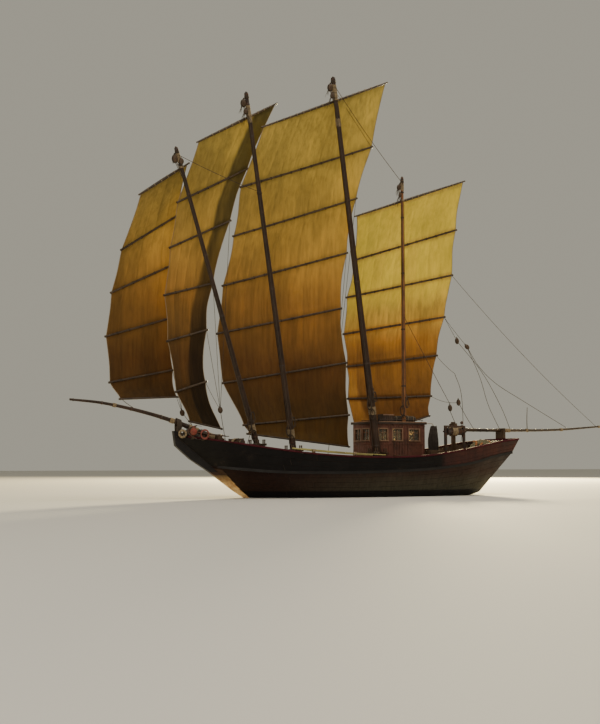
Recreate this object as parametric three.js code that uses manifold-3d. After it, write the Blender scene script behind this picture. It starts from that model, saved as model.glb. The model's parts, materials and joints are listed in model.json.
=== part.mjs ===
// A four-masted sailing fishing boat of plank on frame build, afloat with every sail set.
// Millimetres. +X to the bow, +Y to port, +Z up. The origin is on the centreline, at the
// hull's mid-length, on the waterline.

import * as THREE from 'three';
import { mergeVertices } from 'three/addons/utils/BufferGeometryUtils.js';
import Module from 'manifold-3d';

const GAP = 0.3;          // between pieces that rest on each other
const SIMPLIFY = 0.05;    // a cut's slivers thinner than this are merged away
const RUNNING = 6;        // round the rudder's stock where it passes the planks
const BEARING_SIDES = 24; // facets of a shaft that turns in a close hole

// Hull lines, stern to stem, as x y z of four long edges. y is the half-breadth.
// rail: top of the bulwark. wale: foot of the upper strake. chine: turn of the bilge.
// keel: edge of the flat bottom plank.
const HULL_LINES = [
  { rail: [-7050, 1060, 2160], wale: [-6720, 1040, 1660], chine: [-5380, 640, 130], keel: [-5300, 60, 20] },
  { rail: [-5900, 1330, 2030], wale: [-5600, 1340, 1500], chine: [-4700, 960, 30], keel: [-4450, 90, -130] },
  { rail: [-4500, 1560, 1790], wale: [-4300, 1580, 1230], chine: [-3700, 1200, -60], keel: [-3400, 120, -330] },
  { rail: [-2350, 1770, 1490], wale: [-2300, 1760, 1020], chine: [-2100, 1360, -130], keel: [-1900, 150, -500] },
  { rail: [0, 1820, 1420], wale: [0, 1800, 920], chine: [0, 1400, -170], keel: [0, 160, -580] },
  { rail: [2300, 1700, 1520], wale: [2200, 1640, 900], chine: [1950, 1200, -140], keel: [1800, 150, -590] },
  { rail: [4100, 1370, 1730], wale: [3700, 1230, 930], chine: [3150, 780, -50], keel: [2800, 110, -560] },
  { rail: [5600, 850, 1960], wale: [4900, 650, 1030], chine: [3950, 360, 60], keel: [3420, 80, -520] },
  { rail: [7070, 110, 2160], wale: [5760, 95, 1140], chine: [4560, 80, 220], keel: [3700, 60, -450] },
];
const HULL_STEPS = 32;
const WELL_STEPS = 27;               // not the hull's, so that their corners don't fall together
const BULWARK = 70;                  // thickness of the side planks above deck
const WELL_TOP = 1500;               // the well is cut this far above the deck
const DECK_PLANK = 35;
// Deck height above the waterline, stern to stem, at the same stations as HULL_LINES.
const DECK_Z = [1700, 1580, 1380, 1060, 930, 1010, 1230, 1500, 1760];
const WELL_ENDS = { aft: -6650, fore: 6350 };   // the deck well stops short of both ends
const PLANK_EASE = 4;                // the deck planks stop this far short of the well's sides
const BELOW = 900;                   // reach of a cutting block below the deck
const OUTSIDE = 400;                 // reach of a cutting block outside the bulwarks

const KEEL = {
  aft: -4460, fore: 2900, bottom: -900, top: 200, thick: 130, shoeAft: -5520, shoeFore: -4360, shoeDeep: 60,
};
const STEM = {
  thick: 190, back: 260,
  front: [[3700, -560], [4270, -90], [4860, 270], [5790, 920], [6520, 1370], [7070, 1830], [7150, 2340]], // x, z
};

// Masts: foot on the deck (x, z), head (x, z), offset y to port, radii at foot and head.
const MASTS = [
  { name: 'mast_fore', footX: 4110, footZ: 2020, headX: 7260, headZ: 12290, y: 300, foot: 105, head: 60 },
  { name: 'mast_second', footX: 2630, footZ: 1810, headX: 4560, headZ: 14710, y: 300, foot: 120, head: 66 },
  { name: 'mast_main', footX: -840, footZ: 1650, headX: 1010, headZ: 15820, y: 450, foot: 145, head: 78 },
  { name: 'mast_mizzen', footX: -2340, footZ: 2700, headX: -2350, headZ: 12460, y: 0, foot: 95, head: 52 },
];
const MAST_STEP = 160;               // how far a mast is let into the hull
const SOCKET_GAP = 0.5;              // round a mast in its step
const MAST_SIDES = 12;
const SPAR_SIDES = 10;
const SPAR_STEPS = 16;
const SPOKE_SIDES = 6;

// Sails: each row is a spar or batten from the yard down to the foot boom, given by its
// luff end (x, z), its leech end (x, z) and how far it hangs to leeward of its mast.
const SAILS = [
  {
    name: 'fore', mast: 0, rows: [
      [8480, 10540, 6790, 11790, 0], [8780, 8740, 6680, 10200, 1250], [9000, 7250, 6700, 8440, 1650],
      [9110, 5700, 6700, 6500, 1850], [8940, 4070, 6600, 4600, 1850], [8610, 3480, 6510, 3610, 1650],
    ],
  },
  {
    name: 'second', mast: 1, rows: [
      [6340, 12690, 3320, 14520, 0], [6900, 10540, 4190, 12090, 700], [7040, 8940, 4720, 10150, 1050],
      [7150, 7230, 5290, 7810, 1250], [7020, 5580, 5530, 6060, 1250], [6750, 3760, 5640, 4150, 1050],
      [6320, 2700, 5120, 2460, 800],
    ],
  },
  {
    name: 'main', mast: 2, rows: [
      [3840, 13560, -1410, 16060, 0], [4450, 11370, -1160, 13640, 800], [4510, 9620, -740, 11630, 1300],
      [4780, 7790, -500, 9490, 1650], [4950, 6000, -290, 7280, 1750], [4770, 4160, -430, 5130, 1600],
      [4060, 2620, -350, 3080, 1300], [3920, 2300, -330, 1860, 1250],
    ],
  },
  {
    name: 'mizzen', mast: 3, rows: [
      [-350, 10750, -5370, 12700, 0], [-620, 9150, -5500, 10840, 850], [-600, 7750, -5630, 9040, 1350],
      [-680, 6340, -5500, 7320, 1750], [-900, 5060, -5190, 5700, 1900], [-860, 3770, -4780, 3990, 1750],
      [-1070, 2150, -4520, 3150, 1500],
    ],
  },
];
const YARD = { radius: 52, tip: 30, past: 110 };     // past: how far it runs beyond the cloth
const BATTEN = { radius: 24, past: 55 };
const BOOM = { radius: 36, past: 60, clear: 10 };
const BATTEN_SIDES = 5;
const BATTEN_STEPS = 5;
const CLOTH = { thick: 14, camber: 0.045, pillow: 70, scallop: 70, columns: 8, rowsPerPanel: 3 };
const PARREL = { wire: 17, slack: 2, sides: 6, room: 3 };   // the rope ring that holds a yard to its mast

const BOWSPRIT = {
  path: [[5250, 2010], [6080, 2300], [7000, 2640], [8210, 2970], [9610, 3240], [10800, 3340]], heel: 100, tip: 38,
};
const BITTS = { x: 5500, width: 160, spread: 330, top: 2240 };       // hold the bowsprit's heel
const STERN_POLE = { path: [[-4250, 2560], [-7000, 2560], [-9800, 2620], [-12300, 2800]], heel: 72, tip: 34 };
const POLE_POST = { x: -4650, width: 130, top: 2860, headSpread: 180, headLow: 2300, headTop: 2800 };
const POLE_CRUTCH = { aft: -7030, fore: -6920, top: 2640, spread: 260 };

// Wheelhouse: set to starboard, so that the port side deck is clear for the nets.
const HOUSE = { fore: -740, aft: -3110, port: 250, starboard: -1150, eave: 2720, wall: 42, roof: 70, lap: 70 };
const WINDOWS = {
  fore: [{ from: -1010, to: -590 }, { from: -440, to: 60 }],
  port: [{ from: -1420, to: -1060 }, { from: -2080, to: -1680 }, { from: -2860, to: -2420 }],
  starboard: [{ from: -1560, to: -1100 }, { from: -2260, to: -1760 }, { from: -2900, to: -2500 }],
  sill: 2110, head: 2520,
};
const GLASS = { thick: 8, lap: 30, foreInset: 60, sideInset: 170 };
const DOORWAY = { from: -1010, to: -430, sill: 1330, head: 2590 };   // in the aft wall
const DOOR = { off: 6, thick: 32, before: 15, after: 25, below: 31.5, above: 30 };
const DOOR_PANE = { inset: 90, low: 2080, high: 2500 };
const DOOR_GRIP = { off: 34, out: 62, from: 20, to: 55, low: 1780, high: 1960 };
const DOOR_RAIL = { out: 52, before: 20, low: 70, high: 32 };        // low and high are below the sill

// Hatches: opening in the deck, top of the coaming, and how deep the space under it goes.
const HATCHES = [
  { name: 'fore_hold', x0: 2880, x1: 3480, y0: -420, y1: 180, top: 1390, floor: 350 },
  { name: 'fish_hold', x0: 1150, x1: 1900, y0: -450, y1: 450, top: 1160, floor: 60 },
  { name: 'engine', x0: -4420, x1: -3520, y0: -400, y1: 400, top: 1510, floor: 130 },
];
const COAMING = { wide: 60, sunk: 40 };
const LID = { thick: 45, lap: 52, gripLong: 70, gripWide: 18, gripHigh: 40 };
const PARTNER = { wide: 75, narrow: 60, sunk: 20, high: 90 };        // collar round a mast on the deck
const ENGINE = { length: 760, width: 620, height: 760 };

const RUDDER = {
  x: -5400, stock: 45, fore: -5270, aft: -6120, top: 10, bottom: -800, thick: 60, head: 2080,
};
const TILLER = { aft: 620, fore: 90, half: 32, low: 90, high: 20 };  // low and high are below the stock's head
const PROPELLER = { x: -4870, z: -480, hub: 60, neck: 45, hubLength: 170, shaft: 28, shaftEnd: -4310, blades: 3 };
const BLADE = { half: 120, thick: 14, stretch: 1.25, middle: 160, pitch: 0.62 };
const SHAFT_HOLE = { aft: -4600, fore: -4300 };

const WINDLASS = { x: 4750, z: 1960, reach: 370, half: 110, cheek: 70, over: 130, drum: 120, axle: 26, foot: 70 };
const WINDLASS_HEAD = { gap: 8, past: 120, first: 80, last: 95, pin: 60 };
const HAULER = {
  x0: -4420, x1: -3480, y: 1080, z: 2440, drum: 130, post: 90, axle: 26, top: 2640, foot: 60, footHigh: 130,
};
const HAULER_BAR = { low: 40, high: 30, gap: 8, pin: 40 };
const WHEEL = { x: -1130, y: -420, z: 1930, radius: 210, rim: 16, hub: 34, pin: 12, spoke: 11, spokes: 3 };
const DESK = { aft: 60, clear: 12, starboard: 40, port: 60, top: 2040 };
const ROOF_BOX = { x0: -1870, x1: -1400, y0: -420, y1: 20, high: 320 };
const EXHAUST = { x: -2860, y: -850, radius: 55, high: 520 };
const NET = { x: -5450, y: 800, z: 1640, long: 620, wide: 330, high: 560, clear: 25 };
const BEYOND = { x: 9000, y: 2500, low: -1000, high: 4000 };         // well outside the hull

const colours = {
  strake: [0x17120f, 0.7, 0], plank: [0x6b4a35, 0.85, 0], deck: [0x7d6548, 0.85, 0], rail: [0x6e1f1a, 0.55, 0],
  spar: [0x2b1c12, 0.6, 0], bamboo: [0x8a6a35, 0.55, 0], cloth: [0xa5832f, 0.9, 0],
  paint: [0xb48a7c, 0.6, 0], roof: [0x4a3a30, 0.7, 0], glass: [0xe8e4c8, 0.1, 0], iron: [0x3a3633, 0.6, 0.6],
  bronze: [0x9a7a3a, 0.4, 0.9], net: [0x5d5a3a, 0.95, 0], engine: [0x3d5a4a, 0.5, 0.3],
};

const wasm = await Module();
wasm.setup();
const boat = new THREE.Group();

// Solids and meshes

function toSolid(geometry) {
  const bare = geometry.clone();
  bare.deleteAttribute('normal');
  bare.deleteAttribute('uv');
  const merged = mergeVertices(bare, 1e-3);
  const corners = merged.index.array;
  const faces = [];
  for (let i = 0; i < corners.length; i += 3) {
    const [a, b, c] = [corners[i], corners[i + 1], corners[i + 2]];
    if (a !== b && b !== c && c !== a) faces.push(a, b, c);
  }
  const vertProperties = new Float32Array(merged.attributes.position.array);
  const mesh = new wasm.Mesh({ numProp: 3, vertProperties, triVerts: new Uint32Array(faces) });
  return new wasm.Manifold(mesh);
}

function toGeometry(solid) {
  const mesh = solid.getMesh();
  const geometry = new THREE.BufferGeometry();
  geometry.setAttribute('position', new THREE.BufferAttribute(mesh.vertProperties, 3));
  geometry.setIndex(new THREE.BufferAttribute(mesh.triVerts, 1));
  return geometry;
}

function join(solids) {
  return solids.reduce((all, solid) => all.add(solid));
}

function cut(solid, tools) {
  return tools.reduce((rest, tool) => rest.subtract(tool), solid);
}

function add(name, solid, colour) {
  const [color, roughness, metalness] = colours[colour];
  const skin = toGeometry(solid.simplify(SIMPLIFY));
  const mesh = new THREE.Mesh(skin, new THREE.MeshStandardMaterial({ color, roughness, metalness }));
  mesh.name = name;
  boat.add(mesh);
}

function point(x, y, z) {
  return new THREE.Vector3(x, y, z);
}

function block(x0, x1, y0, y1, z0, z1) {
  const shape = new THREE.BoxGeometry(x1 - x0, y1 - y0, z1 - z0);
  shape.translate((x0 + x1) / 2, (y0 + y1) / 2, (z0 + z1) / 2);
  return toSolid(shape);
}

// A closed skin over rings of points, all rings with the same count.
function loft(rings) {
  const count = rings[0].length;
  const vertices = rings.flat().flatMap((p) => [p.x, p.y, p.z]);
  const faces = [];
  for (let r = 0; r + 1 < rings.length; r += 1) {
    for (let i = 0; i < count; i += 1) {
      const next = (i + 1) % count;
      const [a, b, c, d] = [r * count + i, r * count + next, (r + 1) * count + next, (r + 1) * count + i];
      faces.push(a, b, c, a, c, d);
    }
  }
  const caps = [{ ring: 0, turn: 1 }, { ring: rings.length - 1, turn: 0 }];
  for (const { ring, turn } of caps) {
    const middle = rings[ring].reduce((sum, p) => sum.add(p), point(0, 0, 0)).divideScalar(count);
    const centre = vertices.length / 3;
    vertices.push(middle.x, middle.y, middle.z);
    for (let i = 0; i < count; i += 1) {
      const [a, b] = [ring * count + i, ring * count + (i + 1) % count];
      faces.push(...(turn ? [b, a, centre] : [a, b, centre]));
    }
  }
  const shape = new THREE.BufferGeometry();
  shape.setAttribute('position', new THREE.Float32BufferAttribute(vertices, 3));
  shape.setIndex(faces);
  const solid = toSolid(shape);
  return solid.volume() > 0 ? solid : toSolid(flipped(shape));
}

function flipped(shape) {
  const turned = shape.clone();
  const corners = turned.index.array;
  for (let i = 0; i < corners.length; i += 3) [corners[i], corners[i + 1]] = [corners[i + 1], corners[i]];
  return turned;
}

// A round bar along a curve. radiusAt gives its radius from t = 0 to t = 1 along it.
function spar(curve, radiusAt, steps, sides) {
  const rings = [];
  for (let s = 0; s <= steps; s += 1) {
    const t = s / steps;
    const along = curve.getTangent(t).normalize();
    const across = point(0, 1, 0).cross(along).normalize();
    const other = along.clone().cross(across);
    const radius = radiusAt(t);
    const centre = curve.getPoint(t);
    const ring = [];
    for (let i = 0; i < sides; i += 1) {
      const angle = (2 * Math.PI * i) / sides;
      const offset = across.clone().multiplyScalar(radius * Math.cos(angle));
      ring.push(centre.clone().add(offset).addScaledVector(other, radius * Math.sin(angle)));
    }
    rings.push(ring);
  }
  return loft(rings);
}

function rod(from, to, first, last = first, sides = MAST_SIDES) {
  const length = from.distanceTo(to);
  const shape = new THREE.CylinderGeometry(last, first, length, sides);
  const turn = new THREE.Quaternion().setFromUnitVectors(point(0, 1, 0), to.clone().sub(from).normalize());
  shape.applyQuaternion(turn);
  const middle = from.clone().lerp(to, 0.5);
  shape.translate(middle.x, middle.y, middle.z);
  return toSolid(shape);
}

// A round bar, and the hole it turns in, whose flats stay GAP clear of the bar's corners.
function shaft(from, to, radius) {
  return rod(from, to, radius, radius, BEARING_SIDES);
}

function bearing(from, to, radius) {
  return shaft(from, to, (radius + GAP) / Math.cos(Math.PI / BEARING_SIDES));
}

function ringAround(centre, axis, radius, wire, turns = BEARING_SIDES, sides = PARREL.sides) {
  const shape = new THREE.TorusGeometry(radius, wire, sides, turns);
  const turn = new THREE.Quaternion().setFromUnitVectors(point(0, 0, 1), axis.clone().normalize());
  shape.applyQuaternion(turn);
  shape.translate(centre.x, centre.y, centre.z);
  return toSolid(shape);
}

// Hull

function edge(name) {
  return new THREE.CatmullRomCurve3(HULL_LINES.map((line) => point(...line[name])), false, 'catmullrom', 0.5);
}

const edges = { rail: edge('rail'), wale: edge('wale'), chine: edge('chine'), keel: edge('keel') };
const deckCurve = new THREE.CatmullRomCurve3(
  HULL_LINES.map((line, i) => point(line.rail[0], 0, DECK_Z[i])), false, 'catmullrom', 0.5,
);

function sideways(p, side, inset = 0) {
  return point(p.x, side * Math.max(p.y - inset, 5), p.z);
}

function hullShell() {
  const rings = [];
  for (let s = 0; s <= HULL_STEPS; s += 1) {
    const t = s / HULL_STEPS;
    const [rail, wale, chine, keel] = ['rail', 'wale', 'chine', 'keel'].map((name) => edges[name].getPoint(t));
    const port = [keel, chine, wale, rail].map((p) => sideways(p, 1));
    const starboard = [rail, wale, chine, keel].map((p) => sideways(p, -1));
    rings.push([...port, ...starboard]);
  }
  return loft(rings);
}

// A point of the upper side at a height over the deck. Each section is straight from rail to wale,
// and the line is drawn on past both.
function sidePoint(t, lift) {
  const rail = edges.rail.getPoint(t);
  const wale = edges.wale.getPoint(t);
  let share = 0;
  for (let i = 0; i < 10; i += 1) {
    const deck = deckZ(rail.x + share * (wale.x - rail.x));
    share = (rail.z - deck - lift) / (rail.z - wale.z);
  }
  return rail.clone().lerp(wale, share);
}

// The space between two heights over the deck. Its sides keep a distance inside the hull's sides.
function deckSpace(from, to, inset) {
  const rings = [];
  for (let s = 0; s <= WELL_STEPS; s += 1) {
    const [low, high] = [from, to].map((lift) => sidePoint(s / WELL_STEPS, lift));
    const [lowHalf, highHalf] = [low, high].map((place) => Math.max(place.y - inset, 5));
    rings.push([
      point(low.x, lowHalf, low.z), point(high.x, highHalf, high.z),
      point(high.x, -highHalf, high.z), point(low.x, -lowHalf, low.z),
    ]);
  }
  return loft(rings);
}

// All that lies below the top of the deck planks, for cutting the foot of what stands on them.
function belowDeckTop() {
  return deckSpace(-BELOW, GAP + DECK_PLANK + GAP, -OUTSIDE);
}

function deckZ(x) {
  let [low, high] = [0, 1];
  for (let i = 0; i < 24; i += 1) {
    const t = (low + high) / 2;
    if (deckCurve.getPoint(t).x < x) low = t;
    else high = t;
  }
  return deckCurve.getPoint(low).z;
}

function mastLine(mast) {
  const foot = point(mast.footX, mast.y, mast.footZ);
  const head = point(mast.headX, mast.y, mast.headZ);
  const up = head.clone().sub(foot).normalize();
  const deck = deckZ(mast.footX);
  const heel = foot.clone().addScaledVector(up, (deck - MAST_STEP - foot.z) / up.z);
  return { heel, head, up };
}

function mastAt(mast, z) {
  const { heel, up } = mastLine(mast);
  return heel.clone().addScaledVector(up, (z - heel.z) / up.z);
}

function mastRadius(mast, z) {
  const { heel, head } = mastLine(mast);
  return mast.foot + ((mast.head - mast.foot) * (z - heel.z)) / (head.z - heel.z);
}

function mastBar(mast, extra = 0, under = 0) {
  const { heel, head, up } = mastLine(mast);
  return rod(heel.clone().addScaledVector(up, -under), head, mast.foot + extra, mast.head + extra);
}

function asternOf(x) {
  return block(-BEYOND.x, x, -BEYOND.y, BEYOND.y, BEYOND.low, BEYOND.high);
}

function aheadOf(x) {
  return block(x, BEYOND.x, -BEYOND.y, BEYOND.y, BEYOND.low, BEYOND.high);
}

function stockHole() {
  const { x, thick, stock } = RUDDER;
  return rod(point(x, 0, -thick), point(x, 0, BEYOND.high), stock + RUNNING);
}

function hatchHole(hatch) {
  return block(hatch.x0, hatch.x1, hatch.y0, hatch.y1, hatch.floor, BEYOND.high);
}

function buildHull() {
  const ends = [asternOf(WELL_ENDS.aft), aheadOf(WELL_ENDS.fore)];
  const well = cut(deckSpace(0, WELL_TOP, BULWARK), ends);
  const sockets = MASTS.map((mast) => mastBar(mast, SOCKET_GAP, GAP));
  add('hull', cut(hullShell(), [well, ...sockets, ...HATCHES.map(hatchHole), stockHole()]), 'plank');
}

function buildDeck() {
  const planks = cut(deckSpace(GAP, GAP + DECK_PLANK, BULWARK + PLANK_EASE), [
    asternOf(WELL_ENDS.aft + PLANK_EASE), aheadOf(WELL_ENDS.fore - PLANK_EASE),
  ]);
  const partners = MASTS.slice(0, 3).map((mast) => {
    const deck = deckZ(mast.footX) + DECK_PLANK;
    const [low, high] = [mastAt(mast, deck - PARTNER.sunk), mastAt(mast, deck + PARTNER.high)];
    return rod(low, high, mast.foot + PARTNER.wide, mast.foot + PARTNER.narrow);
  });
  const houseRoom = block(HOUSE.aft, HOUSE.fore + GAP, HOUSE.starboard, HOUSE.port + GAP, 0, HOUSE.eave);
  const collars = cut(join(partners), [houseRoom]);
  const under = deckSpace(-BELOW, GAP, -OUTSIDE);
  const holes = [...MASTS.map((mast) => mastBar(mast, RUNNING)), ...HATCHES.map(hatchHole), stockHole(), under];
  add('deck', cut(join([planks, collars]), holes), 'deck');
}

// A strake along one of the hull's edges, between two of its stations, in cross-section a
// rectangle: out is how far it stands outside the edge, and low and high are heights over it.
function strip(edgeName, side, size) {
  const rings = [];
  for (let s = size.first; s <= size.last; s += 1) {
    const p = edges[edgeName].getPoint(s / HULL_STEPS);
    const outer = Math.max(p.y + size.out, size.wide + 5);
    const inner = outer - size.wide;
    rings.push([
      point(p.x, side * outer, p.z + size.low), point(p.x, side * outer, p.z + size.high),
      point(p.x, side * inner, p.z + size.high), point(p.x, side * inner, p.z + size.low),
    ]);
  }
  return loft(rings);
}

const hullSolid = hullShell();

const RAIL_SIZE = { first: 0, last: 31, out: 45, wide: 150, low: GAP, high: 62 };
const WALE_SIZE = { first: 0, last: 31, out: 45, wide: 110, low: -50, high: 45 };

function buildRails() {
  for (const [word, side] of [['port', 1], ['starboard', -1]]) {
    add(`rail_${word}`, strip('rail', side, RAIL_SIZE), 'rail');
    const wale = strip('wale', side, WALE_SIZE);
    const room = [[0, side * GAP, 0], [-GAP, 0, 0]].map((step) => hullSolid.translate(step));
    add(`wale_${word}`, largest(cut(wale, room)), 'strake');
  }
  const aft = edges.rail.getPoint(0);
  const half = aft.y + RAIL_SIZE.out - RAIL_SIZE.wide - GAP;
  add('rail_stern', block(aft.x, aft.x + RAIL_SIZE.wide, -half, half, aft.z + GAP, aft.z + RAIL_SIZE.high), 'rail');
}

function buildKeel() {
  const { aft, fore, thick, bottom, top, shoeAft, shoeFore, shoeDeep } = KEEL;
  const deadwood = block(aft, fore, -thick / 2, thick / 2, bottom, top);
  const shoe = block(shoeAft, shoeFore, -thick / 2, thick / 2, bottom, bottom + shoeDeep);
  const under = hullSolid.translate([0, 0, -GAP]);
  const { z, shaft: radius } = PROPELLER;
  const hole = bearing(point(SHAFT_HOLE.aft, 0, z), point(SHAFT_HOLE.fore, 0, z), radius);
  add('keel', cut(deadwood, [under, hullSolid, hole]).add(shoe), 'plank');
}

// The stem timber stands before the raked end of the hull. Its front edge is fuller than the hull's
// end and is almost plumb at the head.
function stemBar() {
  const half = STEM.thick / 2;
  const rings = STEM.front.map(([fore, z]) => {
    const aft = stemX(z) - STEM.back;
    return [point(fore, half, z), point(fore, -half, z), point(aft, -half, z), point(aft, half, z)];
  });
  return loft(rings);
}

function stemX(z) {
  const foot = HULL_LINES.at(-1).keel;
  const head = HULL_LINES.at(-1).rail;
  return foot[0] + ((head[0] - foot[0]) * (z - foot[2])) / (head[2] - foot[2]);
}

function buildStem() {
  const grown = join([[0, 0, 0], [GAP, 0, GAP], [0, 0, -GAP]].map((step) => hullSolid.translate(step)));
  const post = cut(stemBar(), [grown, curvedSpar(BOWSPRIT, GAP)]);
  const room = [1, -1].flatMap((side) => [
    strip('rail', side, { ...RAIL_SIZE, out: RAIL_SIZE.out + GAP, low: 0, high: RAIL_SIZE.high + GAP }),
    strip('wale', side, { ...WALE_SIZE, out: WALE_SIZE.out + GAP, last: HULL_STEPS }),
  ]);
  add('stem', largest(cut(post, room)), 'strake');
}

function largest(solid) {
  return solid.decompose().sort((a, b) => b.volume() - a.volume())[0];
}

// Spars

// A spar over the centreline, along a path of x and z.
function curvedSpar({ path, heel, tip }, extra = 0) {
  const curve = new THREE.CatmullRomCurve3(path.map(([x, z]) => point(x, 0, z)), false, 'catmullrom', 0.5);
  return spar(curve, (t) => heel + (tip - heel) * t + extra, SPAR_STEPS, SPAR_SIDES);
}

function buildSpars() {
  for (const mast of MASTS) add(mast.name, mastBar(mast), 'spar');
  add('bowsprit', curvedSpar(BOWSPRIT), 'spar');
  add('stern_pole', curvedSpar(STERN_POLE), 'bamboo');
}

function buildSparRests() {
  const deckRoom = belowDeckTop();
  const { x, width, spread, top } = BITTS;
  const beam = block(x - width / 2, x + width / 2, -spread, spread, deckZ(x), top);
  add('bowsprit_bitts', cut(beam, [curvedSpar(BOWSPRIT, GAP), deckRoom]), 'spar');
  const pole = curvedSpar(STERN_POLE, GAP);
  const half = POLE_POST.width / 2;
  const [fore, aft] = [POLE_POST.x + half, POLE_POST.x - half];
  const post = block(aft, fore, -half, half, deckZ(POLE_POST.x), POLE_POST.top);
  const { headSpread, headLow, headTop } = POLE_POST;
  const head = block(aft, fore, -headSpread, headSpread, headLow, headTop);
  add('pole_post', cut(join([post, head]), [pole, deckRoom]), 'spar');
  const foot = edges.rail.getPoint(0).z + RAIL_SIZE.high + GAP;
  const crutch = POLE_CRUTCH;
  const legs = block(crutch.aft, crutch.fore, -crutch.spread, crutch.spread, foot, crutch.top);
  add('pole_crutch', cut(legs, [pole]), 'spar');
}

// Sails

function sailEdges(sail) {
  const mast = MASTS[sail.mast];
  const hang = mastRadius(mast, mastCrossing(sail).z) + YARD.radius + PARREL.slack;
  const side = (x, z, lee) => point(x, mast.y - Math.max(lee, hang), z);
  return {
    luff: new THREE.CatmullRomCurve3(sail.rows.map(([x, z, , , lee]) => side(x, z, lee)), false, 'catmullrom', 0.5),
    leech: new THREE.CatmullRomCurve3(sail.rows.map(([, , x, z, lee]) => side(x, z, lee)), false, 'catmullrom', 0.5),
    panels: sail.rows.length - 1,
  };
}

// The point of the mast's axis where the yard crosses it.
function mastCrossing(sail) {
  const mast = MASTS[sail.mast];
  const [luffX, luffZ, leechX, leechZ] = sail.rows[0];
  let z = (luffZ + leechZ) / 2;
  for (let i = 0; i < 20; i += 1) {
    const x = mastAt(mast, z).x;
    z = luffZ + ((leechZ - luffZ) * (luffX - x)) / (luffX - leechX);
  }
  return mastAt(mast, z);
}

// A point of the sail: row from 0 at the yard to panels at the foot, u from luff to leech.
function clothPoint(sides, row, u) {
  const t = row / sides.panels;
  const luff = sides.luff.getPoint(t);
  const leech = sides.leech.getPoint(t);
  const width = luff.distanceTo(leech);
  const between = Math.sin(Math.PI * (row % 1));
  const held = Math.min(row, sides.panels - row, 1);
  const inset = (CLOTH.scallop * between) / width;
  const place = luff.lerp(leech, inset + u * (1 - 2 * inset));
  const round = 4 * u * (1 - u);
  place.y -= round * (CLOTH.camber * width * held + CLOTH.pillow * between);
  return place;
}

function clothShell(sides) {
  const rings = [];
  const rows = sides.panels * CLOTH.rowsPerPanel;
  for (let r = 0; r <= rows; r += 1) {
    const row = r / CLOTH.rowsPerPanel;
    const across = [];
    for (let c = 0; c <= CLOTH.columns; c += 1) across.push(clothPoint(sides, row, c / CLOTH.columns));
    const weather = across.map((p) => point(p.x, p.y + CLOTH.thick / 2, p.z));
    const lee = across.map((p) => point(p.x, p.y - CLOTH.thick / 2, p.z)).reverse();
    rings.push([...weather, ...lee]);
  }
  return loft(rings);
}

function battenBar(sides, row, size, steps = BATTEN_STEPS) {
  const points = [];
  for (let c = 0; c <= steps; c += 1) points.push(clothPoint(sides, row, c / steps));
  stretch(points, size.past);
  const curve = new THREE.CatmullRomCurve3(points, false, 'catmullrom', 0.5);
  return spar(curve, () => size.radius, steps, BATTEN_SIDES);
}

function stretch(points, past) {
  const first = points[0];
  const last = points.at(-1);
  first.addScaledVector(first.clone().sub(points[1]).normalize(), past);
  last.addScaledVector(last.clone().sub(points.at(-2)).normalize(), past);
}

// The yard is thickest in the middle and tapers to both tips.
function yardBar(sides, extra = 0) {
  const luff = sides.luff.getPoint(0);
  const leech = sides.leech.getPoint(0);
  const along = leech.clone().sub(luff).normalize();
  luff.addScaledVector(along, -YARD.past - extra);
  leech.addScaledVector(along, YARD.past + extra);
  const radiusAt = (t) => YARD.radius + (YARD.tip - YARD.radius) * Math.abs(2 * t - 1) + extra;
  return spar(new THREE.LineCurve3(luff, leech), radiusAt, 2, SPAR_SIDES);
}

// The ring clears the mast's corners by GAP, and its own flats are on the inside of its wire.
function parrelRing(sail, extra = 0) {
  const mast = MASTS[sail.mast];
  const crossing = mastCrossing(sail);
  const inside = mastRadius(mast, crossing.z) + GAP + PARREL.wire;
  const radius = inside / Math.cos(Math.PI / BEARING_SIDES);
  return ringAround(crossing, mastLine(mast).up, radius, PARREL.wire + extra);
}

function buildSail(sail) {
  const sides = sailEdges(sail);
  const battens = [];
  for (let row = 1; row < sides.panels; row += 1) battens.push(battenBar(sides, row, BATTEN));
  const boom = battenBar(sides, sides.panels, BOOM);
  const boomRoom = battenBar(sides, sides.panels, { radius: BOOM.radius + GAP, past: BOOM.past + BOOM.clear });
  const rooms = [yardBar(sides, GAP), boomRoom, parrelRing(sail, PARREL.room)];
  const cloth = cut(join([clothShell(sides), ...battens]), rooms);
  add(`sail_${sail.name}_yard`, join([yardBar(sides), parrelRing(sail)]), 'bamboo');
  add(`sail_${sail.name}_cloth`, largest(toSolid(toGeometry(cloth))), 'cloth');
  add(`sail_${sail.name}_boom`, boom, 'bamboo');
}

// Wheelhouse

function windowHole(wall, { from, to }) {
  const { sill, head } = WINDOWS;
  if (wall === 'fore') return block(HOUSE.fore - HOUSE.wall, HOUSE.fore, from, to, sill, head);
  const outer = wall === 'port' ? HOUSE.port : HOUSE.starboard;
  return block(from, to, outer - HOUSE.wall, outer + HOUSE.wall, sill, head);
}

function houseWalls() {
  const { fore, aft, port, starboard, eave, wall } = HOUSE;
  const low = deckZ(fore) - wall;
  const [sideAft, sideFore] = [aft + wall + GAP, fore - wall - GAP];
  const { from, to, sill, head } = DOORWAY;
  const { out, before, low: railLow, high: railHigh } = DOOR_RAIL;
  const doorRail = block(aft - out, aft, from - before, port, sill - railLow, sill - railHigh);
  const doorHole = block(aft, aft + wall, from, to, sill, head);
  return {
    fore: block(fore - wall, fore, starboard, port, low, eave),
    aft: cut(block(aft, aft + wall, starboard, port, low, eave), [doorHole]).add(doorRail),
    port: block(sideAft, sideFore, port - wall, port, low, eave),
    starboard: block(sideAft, sideFore, starboard, starboard + wall, low, eave),
  };
}

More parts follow.
